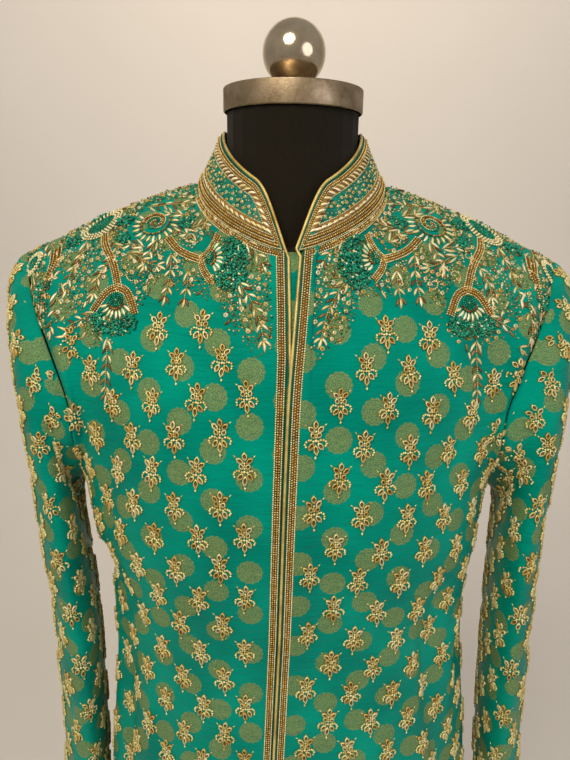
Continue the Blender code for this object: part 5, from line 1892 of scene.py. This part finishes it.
def fan(work, u, v, inner, outer, start, stop, count, width=4.2):
    """Cream rays round part of a place, with emerald thread between them."""
    for k in range(count):
        turn = math.radians(start + (stop - start) * (k + 0.5) / count + jitter(2))
        gap = turn + math.radians((stop - start) / count / 2)
        foot = [(a + inner * f(t)) / 1000 for t in (turn, gap) for a, f in ((u, math.sin),
                                                                            (v, math.cos))]
        leaf(work, foot[0], foot[1], turn, outer - inner + jitter(0.5), width, CREAM)
        leaf(work, foot[2], foot[3], gap, outer - inner, width * 0.8, EMERALD)
    bead_row(work, circle(u, v, inner - 0.6, start, stop), BRONZE + GOLD[2:3], 2.2, 1.9, 0.0)


def flower(work, u, v, radius):
    """A round flower in mm: a heart of beads in three rings of slanted cord."""
    heart(work, u, v, radius * 0.60)
    for share in (0.70, 0.85, 1.0):
        couch(work, circle(u, v, radius * share), 3.2, 3.0, 2.2, CREAM, 0.5)


def spiral(work, u, v, radius, hand):
    """A beaded spiral in mm with a fan of rays. hand 1 turns it clockwise, -1 the other way."""
    turns = np.linspace(0.6, 2.5 * math.pi, 60)
    r = radius * 0.64 * turns / turns[-1]
    path = np.stack([u + hand * r * np.sin(turns), v + r * np.cos(turns)], axis=1) / 1000
    heart(work, u + hand * 1.0, v - 1.0, radius * 0.34)
    bead_row(work, path, BRONZE + GOLD[2:3], 2.8, 2.2, 0.0)
    couch(work, offset(path, hand * 0.0020), 1.5, 1.8, 2.0, PALE)
    couch(work, offset(path, hand * -0.0020), 1.5, 1.8, 2.0, PALE)
    fan(work, u, v, radius * 0.80, radius * 1.36, hand * 60, hand * 290, 13)


print("points of a round of 5 mm:", len(circle(0, 0, 5)))

# %% [markdown]
# The rounds are tied together by lines: stems and sprays follow rough paths whose corners are
# cut, and tendrils roll in on themselves. Masses of emerald beads fill the ground around the fans.

# %% Stems, sprays and fringes
def stem(tape, work, points):
    """A beaded stem: bronze tape with cords on both sides and beads along its middle."""
    path = rounded(np.array(points) / 1000)
    tape.lay(path, 0.0058, 0.0010)
    for side in (-1, 1):
        couch(work, offset(path, side * 0.0032), 1.7, 1.9, 1.9, PALE)
        bead_row(work, offset(path, side * 0.0011), GOLD[1:4], 1.8, 1.9, 0.0006)


def fringe(work, u, v, wide, high, count, fans):
    """A mass of emerald beads that keeps off the fans."""
    for _ in range(count):
        turn, r = dice.uniform(0, 6.283), math.sqrt(dice.random())
        x, y = u + wide * r * math.sin(turn), v + high * r * math.cos(turn)
        if any(math.hypot(x - a, y - b) < outer for a, b, outer in fans):
            continue
        size = dice.uniform(2.4, 3.6)
        work.lay(BEAD, x / 1000, y / 1000, dice.uniform(0, 3),
                 *mm(size * 0.8, size * 1.2, size), EMERALD if dice.random() < 0.96 else CREAM)


def spray(work, points):
    """A hanging spray: pairs of leaves along a stem, cream and dull by turns."""
    path = resampled(rounded(np.array(points) / 1000), 0.0070)
    couch(work, path, 1.2, 1.8, 1.6, GOLD[:3])
    ahead, _ = path_sides(path)
    for k, (place, way) in enumerate(zip(path, ahead)):
        shade = BUFF if k % 2 == 0 else DULL
        for side in (-1, 1):
            turn = math.atan2(*way) + side * math.radians((28 if k == 0 else 42) + jitter(6))
            leaf(work, *place, turn, 14.0 if k == 0 else 9.8, 3.6, shade, -side)
    leaf(work, *path[-1], math.atan2(*ahead[-1]), 11.5, 4.0, BUFF)


def curl(work, u, v, radius, start, hand):
    """A small tendril that rolls in on itself. Place in mm."""
    turns = np.linspace(0.0, 4.4, 22)
    r = radius * (1 - 0.78 * turns / turns[-1])
    path = np.stack([u + r * np.sin(start + hand * turns), v + r * np.cos(start + hand * turns)],
                    axis=1) / 1000
    couch(work, path, 1.7, 1.8, 1.6, PALE)


print("leaves of a straight spray of 35 mm:", 2 * len(resampled([(0, 0), (0, 0.035)], 0.007)) + 1)

# %% [markdown]
# An embroiderer pricks the layout through paper and turns the paper over for the other side. The
# tables below are that paper: where each motif lies, in millimetres.

# %% Layout of the yoke
# Places are |u| and v in mm, the same on both sides but for a shift.
FLOWERS = ((203, 1438, 18.0), (258, 1420, 11.0))
SPIRALS = ((143, 1436, 17.0),)
STEMS = (
    ((190, 1424), (184, 1410), (169, 1392), (160, 1371)),
    ((160, 1371), (150, 1368), (141, 1350)),
    ((160, 1371), (170, 1368), (180, 1350)),
    ((126, 1420), (114, 1409), (98, 1404), (86, 1402)),
    ((86, 1402), (78, 1408), (68, 1424)),
    ((86, 1402), (82, 1393), (72, 1384)),
    ((236, 1420), (229, 1402), (233, 1384)),
)
FANS = (
    # |u|  v     inner outer start stop count
    (160, 1360, 8.0, 18.0, 110, 250, 8),
    (76, 1404, 7.0, 17.0, 205, 340, 7),
)
FRINGES = ((160, 1342, 22, 11, 330), (54, 1399, 17, 23, 420), (236, 1386, 9, 8, 70),
           (176, 1440, 9, 7, 70), (112, 1438, 8, 7, 60), (222, 1420, 8, 7, 50),
           (224, 1452, 10, 6, 60), (168, 1418, 7, 6, 40))
SPRAYS = (
    ((98, 1392), (96, 1380), (97, 1368)),
    ((146, 1410), (156, 1412), (166, 1412)),
    ((218, 1378), (216, 1364), (218, 1352)),
    ((244, 1392), (240, 1376), (241, 1358)),
    ((120, 1446), (132, 1448)),
    ((96, 1418), (104, 1424), (116, 1428)),
    ((56, 1428), (48, 1420), (42, 1410)),
    ((207, 1418), (206, 1404), (210, 1388), (211, 1372)),
    ((170, 1402), (177, 1393), (182, 1381), (183, 1366)),
    ((158, 1403), (149, 1401), (141, 1395), (130, 1393)),
    ((136, 1418), (139, 1408), (141, 1394)),
    ((119, 1405), (116, 1394), (115, 1380), (116, 1368)),
    ((112, 1432), (98, 1434), (80, 1438)),
    ((160, 1455), (140, 1458), (122, 1460)),
    ((177, 1349), (188, 1344), (203, 1338)),
    ((164, 1328), (163, 1314), (165, 1297), (166, 1280)),
    ((46, 1384), (38, 1376), (27, 1358), (23, 1338)),
    ((257, 1448), (246, 1434), (237, 1420)),
    ((102, 1457), (86, 1446), (70, 1440)),
    ((226, 1410), (231, 1394), (232, 1376)),
    ((186, 1462), (200, 1462), (216, 1458)),
    ((254, 1404), (249, 1388), (246, 1370)),
    ((40, 1418), (32, 1410), (26, 1400)),
)
CURLS = ((104, 1420, 6, 0.4, 1), (150, 1384, 7, 2.6, -1), (184, 1384, 6, 3.4, 1),
         (214, 1424, 6, 1.0, -1), (60, 1434, 6, 5.0, 1), (130, 1378, 6, 4.0, -1),
         (240, 1434, 6, 5.2, 1), (168, 1404, 5, 1.2, 1))
# Round these places the small work keeps off: |u|, v, distance in mm.
CLEAR = ([(u, v, r + 2) for u, v, r in FLOWERS] + [(u, v, r * 1.36 + 1) for u, v, r in SPIRALS]
         + [(u, v, 4.6) for points in STEMS for u, v in rounded(np.array(points, float), 2)]
         + [(u, v, outer + 1) for u, v, _, outer, *_ in FANS]
         + [(u, v, 4.2) for points in SPRAYS for u, v in rounded(np.array(points, float), 2)])


print("motifs on each side:", sum(map(len, (FLOWERS, SPIRALS, STEMS, FANS, FRINGES, SPRAYS, CURLS))))

# %% [markdown]
# The motifs are sewn first. Small work then fills what they leave free: random places that keep a
# distance from each other look strewn by hand, while purely random ones clump.

# %% Embroider the yoke
BORDER_CLEAR = 0.0078       # the small work keeps this far from the middle of the bands
YOKE_ROUNDS = (
    # gap  tries  share of sequins, below zero for olive thread only
    (5.2, 7000, 0.66),
    (2.7, 18000, 0.0),
    (1.9, 24000, -1.0),
)


def yoke_density(u, v):
    """How thickly small work is strewn: 1 at the seam and less down the chest, mm."""
    edge = np.interp(abs(u), *zip(*YOKE_EDGE))
    return min(max((v - edge + 8) / 18, 0.0), 1.0)


def strew(work, panel, side):
    """Ring sequins, beads and small leaves between the motifs."""
    border = band_paths(panel, 0.0045)
    wide, high = np.abs(panel.u).max() * 1000, panel.v.max() * 1000
    for gap, tries, share in YOKE_ROUNDS:
        for u, v in scattered(wide, 1300, high, gap, tries):
            if dice.random() > yoke_density(u, v) or any(
                    (u - a) ** 2 + (v - b) ** 2 < r * r for a, b, r in CLEAR):
                continue
            u, v, pick = side * u / 1000, v / 1000, dice.random()
            if np.hypot(*(border - (u, v)).T).min() < BORDER_CLEAR:
                continue
            if share < 0:
                work.lay(BEAD, u, v, dice.uniform(0, 3), *mm(1.5, 2.2, 1.0), OLIVE)
            elif pick < share:
                size = dice.choice((3.8, 4.2, 4.6))
                work.lay(SEQUIN, u, v, 0.0, *mm(size, size, 1.2), PALE)
            elif pick < share + 0.14 * (gap > 4):
                leaf(work, u, v, dice.uniform(2.2, 4.1), dice.uniform(7, 10), 3.2,
                     dice.choice((DULL, BUFF)))
            elif pick < share + 0.26:
                work.lay(BEAD, u, v, 0.0, *mm(2.4, 2.4, 2.0), EMERALD)
            else:
                work.lay(BEAD, u, v, dice.uniform(0, 3), *mm(1.7, 2.3, 1.4), CREAM[:2] + GOLD[:3])


def embroider(name, side, shift):
    """The yoke's work on one side of a panel. shift moves the motifs, in mm."""
    panel = panels[name]
    tape, work = Tapes(panel), Work(panel)

    def moved(points):
        return [(side * (u + shift[0]), v + shift[1]) for u, v in points]

    for points in STEMS:
        stem(tape, work, moved(points))
    for u, v, radius in FLOWERS:
        flower(work, *moved([(u, v)])[0], radius)
    for u, v, radius in SPIRALS:
        spiral(work, *moved([(u, v)])[0], radius, side)
    rounds = []
    for u, v, inner, outer, start, stop, number in FANS:
        u, v = moved([(u, v)])[0]
        rounds.append((u, v, outer - 1))
        heart(work, u, v, inner - 2.2)
        fan(work, u, v, inner, outer, side * start, side * stop, number)
    for u, v, wide, high, number in FRINGES:
        fringe(work, *moved([(u, v)])[0], wide, high, number, rounds)
    for points in SPRAYS:
        spray(work, moved(points))
    for u, v, radius, start, hand in CURLS:
        curl(work, *moved([(u, v)])[0], radius, start, side * hand)
    strew(work, panel, side)
    tag = name + ("_a" if side > 0 else "_b")
    tape.make("yoke_stems_" + tag, bronze_tape, "zardozi_border")
    work.sew("yoke_work_" + tag, gilt_thread, "zardozi_border", 0.06, 0.3)


embroider("front_right", -1, (-3.0, -3.0))
embroider("front_left", 1, (3.0, 0.0))
embroider("back", 1, (0.0, 0.0))
embroider("back", -1, (0.0, 0.0))

# %% [markdown]
# A shop's dress form stands here: a body covered in black jersey, a metal cap on the neck and a
# ball on the cap. The cap, the ball, the pole and the foot are turned pieces, so each is a profile
# swept once round an axis.

# %% Turned pieces
def turned(name, profile, centre, material, steps=96):
    """Spins a profile of (radius, height) points round a vertical axis."""
    verts, faces, rings = [], [], []
    for radius, z in profile:
        if radius < 1e-6:
            rings.append([len(verts)])
            verts.append((centre[0], centre[1], z))
            continue
        rings.append(range(len(verts), len(verts) + steps))
        verts += [(centre[0] + radius * math.cos(2 * math.pi * k / steps),
                   centre[1] + radius * math.sin(2 * math.pi * k / steps), z)
                  for k in range(steps)]
    for low, high in zip(rings, rings[1:]):
        for k in range(steps):
            n = (k + 1) % steps
            quad = [low[k % len(low)], low[n % len(low)], high[n % len(high)], high[k % len(high)]]
            quad = list(dict.fromkeys(quad))
            if len(quad) > 2:
                faces.append(quad)
    return mesh_object(name, verts, faces=faces, material=material)


def arc(centre_r, centre_z, radius, start, stop, count):
    """Points of a quarter round or any arc of a profile, angles in degrees."""
    turns = [math.radians(start + (stop - start) * k / count) for k in range(count + 1)]
    return [(centre_r + radius * math.cos(turn), centre_z + radius * math.sin(turn))
            for turn in turns]


print("a quarter round of 8 steps has", len(arc(0, 0, 1, 0, 90, 8)), "points")

# %% [markdown]
# Handled metal is never of one tone. Noise a few centimetres wide clouds its colour and its gloss
# together, and a much finer one gives it small pits. The jersey only needs a faint nap.

# %% Finishes of the form and its stand
def jersey_material():
    # Cotton jersey, knitted and stretched over the form: it swallows light and shows a faint nap.
    material, tree, shader = new_material("black_jersey", "100D09", 0.95,
                                          sockets={"Sheen Weight": 0.06, "Sheen Roughness": 0.5,
                                                   "Specular IOR Level": 0.12})
    place = add(tree, "ShaderNodeTexCoord").outputs["Object"]
    nap = add(tree, "ShaderNodeTexNoise", {"Vector": place, "Scale": 900.0, "Detail": 2.0})
    colour = add(tree, "ShaderNodeMix", {0: nap, 6: linear("0C0A06"), 7: linear("211C10")},
                 data_type="RGBA").outputs[2]
    bump = add(tree, "ShaderNodeBump", {"Height": nap, "Strength": 0.3, "Distance": 0.0004})
    feed(tree, shader, {"Base Color": colour, "Normal": bump})
    return material


def worn_metal(name, low, high, roughness, scratch, metallic=1.0):
    # Spun metal, handled for years: clouded and finely pitted. Paint on metal wears alike.
    material, tree, shader = new_material(name, high, roughness[0], metallic)
    place = add(tree, "ShaderNodeTexCoord").outputs["Object"]
    cloud = add(tree, "ShaderNodeTexNoise", {"Vector": place, "Scale": 45.0, "Detail": 5.0,
                                             "Roughness": 0.7})
    cloud = add(tree, "ShaderNodeMapRange", {0: cloud, 1: 0.32, 2: 0.68})
    colour = add(tree, "ShaderNodeMix", {0: cloud, 6: linear(low), 7: linear(high)},
                 data_type="RGBA").outputs[2]
    gloss = add(tree, "ShaderNodeMapRange", {0: cloud, 3: roughness[1], 4: roughness[0]})
    pits = add(tree, "ShaderNodeTexNoise", {"Vector": place, "Scale": 700.0, "Detail": 3.0})
    bump = add(tree, "ShaderNodeBump", {"Height": pits, "Strength": scratch, "Distance": 0.0004})
    feed(tree, shader, {"Base Color": colour, "Roughness": gloss, "Normal": bump})
    return material


black_jersey = jersey_material()
aged_brass = worn_metal("aged_brass", "6E5D44", "A8957A", (0.42, 0.6), 0.35)
chrome_plate = worn_metal("chrome_plate", "B4A287", "D6C5A8", (0.10, 0.20), 0.08)
stand_paint = worn_metal("stand_paint", "1B1A19", "262422", (0.38, 0.5), 0.15, metallic=0.0)
print("form finishes:", black_jersey.name, aged_brass.name, chrome_plate.name, stand_paint.name)

# %% [markdown]
# Each turned piece takes its size from the solid that it replaces, so it fits without measuring
# by hand. The profiles add what the solids leave out: rounded edges, the cap's low dome and the
# short stem under the ball.

# %% Cap, ball, pole and foot
def middle_of(node):
    """Where a solid's upright axis stands."""
    low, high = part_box(node)
    return (low[0] + high[0]) / 2, (low[1] + high[1]) / 2


def cap_profile():
    """A low dome with a rounded rim above and below."""
    low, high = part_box("neck_cap")
    radius, bottom, top = (high[0] - low[0]) / 2, low[2], high[2]
    edge = 0.0012
    return ([(0.0, bottom), (radius - edge, bottom)]
            + arc(radius - edge, bottom + edge, edge, -90, 0, 5)
            + arc(radius - edge, top - 2.6 * edge, edge, 0, 60, 4)
            + [(radius * 0.86, top - 0.0026), (radius * 0.60, top - 0.0008),
               (radius * 0.34, top), (0.0, top)])


def ball_profile():
    """A ball on a short stem."""
    low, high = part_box("cap_ball")
    radius = (high[0] - low[0]) / 2
    centre = high[2] - radius
    stem = 0.0085
    start = -math.degrees(math.acos(stem / radius))
    return ([(0.0, low[2]), (stem + 0.0015, low[2]), (stem, low[2] + 0.0015)]
            + arc(0.0, centre, radius, start, 90, 40)[:-1] + [(0.0, high[2])])


def straight_profile(node, edge):
    """A plain cylinder with rounded edges."""
    low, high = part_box(node)
    radius = (high[0] - low[0]) / 2
    return ([(0.0, low[2]), (radius - edge, low[2])]
            + arc(radius - edge, low[2] + edge, edge, -90, 0, 4)
            + arc(radius - edge, high[2] - edge, edge, 0, 90, 6) + [(0.0, high[2])])


TURNED = (
    # node         profile                             material      slot
    ("neck_cap", cap_profile(), aged_brass, "aged_metal"),
    ("cap_ball", ball_profile(), chrome_plate, "chrome"),
    ("pole", straight_profile("pole", 0.0012), stand_paint, "stand_metal"),
    ("base_plate", straight_profile("base_plate", 0.005), stand_paint, "stand_metal"),
)
for node, profile, material, slot in TURNED:
    piece = turned("turned_" + node, profile, middle_of(node), material)
    settle(piece, slot, node)
    print(piece.name, len(piece.data.polygons), "faces")

# %% [markdown]
# Solids that are right as they are only get their finish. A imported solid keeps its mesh; the
# material goes into its slots.

# %% Solids that stay
def finish_solid(node, material):
    """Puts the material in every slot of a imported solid."""
    thing = nodes[node]
    for part in [thing, *thing.children_recursive]:
        if part.type == "MESH":
            if not part.data.materials:
                part.data.materials.append(material)
            for slot in part.material_slots:
                slot.material = material


finish_solid("form_torso", black_jersey)
print("finished: form_torso")

# %% [markdown]
# The coat stands on a pale floor, far before a painted backdrop that curves up from the floor
# without a corner, so no edge shows behind the coat. Both are stage and no part of it. Each is
# one strip of faces, drawn from its profile.

# %% Stage
def painted(name):
    # Matt wall paint, rolled: faint clouds and an even fine grain.
    material, tree, shader = new_material(name, "E2DDD6", 0.9)
    place = add(tree, "ShaderNodeTexCoord").outputs["Object"]
    cloud = add(tree, "ShaderNodeTexNoise", {"Vector": place, "Scale": 1.4, "Detail": 3.0})
    colour = add(tree, "ShaderNodeMix", {0: cloud, 6: linear("D9D4CC"), 7: linear("E2DDD6")},
                 data_type="RGBA").outputs[2]
    grain = add(tree, "ShaderNodeTexNoise", {"Vector": place, "Scale": 400.0})
    bump = add(tree, "ShaderNodeBump", {"Height": grain, "Strength": 0.1, "Distance": 0.0005})
    feed(tree, shader, {"Base Color": colour, "Normal": bump})
    return material


STAGE_HALF_WIDTH = 4.0
FLOOR_Z = -0.001          # just under the foot, so that the two don't fight for the same place
SWEEP_START, SWEEP_RADIUS = 1.2, 1.5
sweep = [(SWEEP_START + SWEEP_RADIUS * math.sin(t), SWEEP_RADIUS * (1 - math.cos(t)) + FLOOR_Z)
         for t in np.linspace(0, math.pi / 2, 25)]
sweep.append((SWEEP_START + SWEEP_RADIUS, 4.0))
for name, finish, profile in (("backdrop", "wall_paint", sweep),
                              ("floor", "floor_paint", [(-4.0, FLOOR_Z), (SWEEP_START, FLOOR_Z)])):
    verts = [(x, y, z) for y, z in profile for x in (-STAGE_HALF_WIDTH, STAGE_HALF_WIDTH)]
    faces = [(2 * k, 2 * k + 1, 2 * k + 3, 2 * k + 2) for k in range(len(profile) - 1)]
    thing = mesh_object(name, verts, faces=faces, material=painted(finish))
    print(name, len(faces), "faces")

# %% [markdown]
# The light is soft: a large window's worth from the upper left of the room, a weaker fill from the
# right, a lamp that the backdrop has to itself, and a warm grey sky that keeps the folds open. Soft
# light is a matter of the lamp's size, so each is a wide disk.

# %% Light
def area_light(name, place, aim, size, power, colour):
    """A round soft lamp at a place, turned to its aim. Size in metres, power in watts."""
    data = bpy.data.lights.new(name, "AREA")
    data.shape, data.size, data.energy = "DISK", size, power
    data.color = linear(colour)[:3]
    lamp = bpy.data.objects.new(name, data)
    bpy.context.scene.collection.objects.link(lamp)
    turn = (Vector(aim) - Vector(place)).to_track_quat("-Z", "Y").to_matrix().to_4x4()
    lamp.matrix_world = Matrix.Translation(place) @ turn


area_light("key", (-0.7, -1.8, 2.9), (0.0, 0.0, 1.2), 1.4, 56.0, "FFF3E2")
area_light("fill", (1.9, -1.7, 1.7), (0.0, 0.0, 1.1), 1.8, 16.0, "F3F2FF")
area_light("backdrop", (0.0, 0.5, 3.6), (0.0, 3.0, 3.6), 2.4, 46.0, "FFEFDD")
world = bpy.data.worlds.new("world")
world.use_nodes = True
world.node_tree.nodes["Background"].inputs["Color"].default_value = linear("E9E4DC")
world.node_tree.nodes["Background"].inputs["Strength"].default_value = 0.45
bpy.context.scene.world = world
bpy.context.scene.view_settings.view_transform = "Standard"
print("lights set")

# %% [markdown]
# The five shapes of the laid work have done their duty: their copies are in the meshes. Last the
# triangles made here are counted.

# %% Clear away, measure and finish
for thing in list(shapes.objects):
    bpy.data.meshes.remove(thing.data)
bpy.data.collections.remove(shapes)
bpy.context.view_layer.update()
added = [thing for thing in bpy.context.scene.objects if thing.type == "MESH"
         and thing.name not in nodes]
print("triangles made here:", sum(sum(len(p.vertices) - 2 for p in thing.data.polygons)
                                  for thing in added))
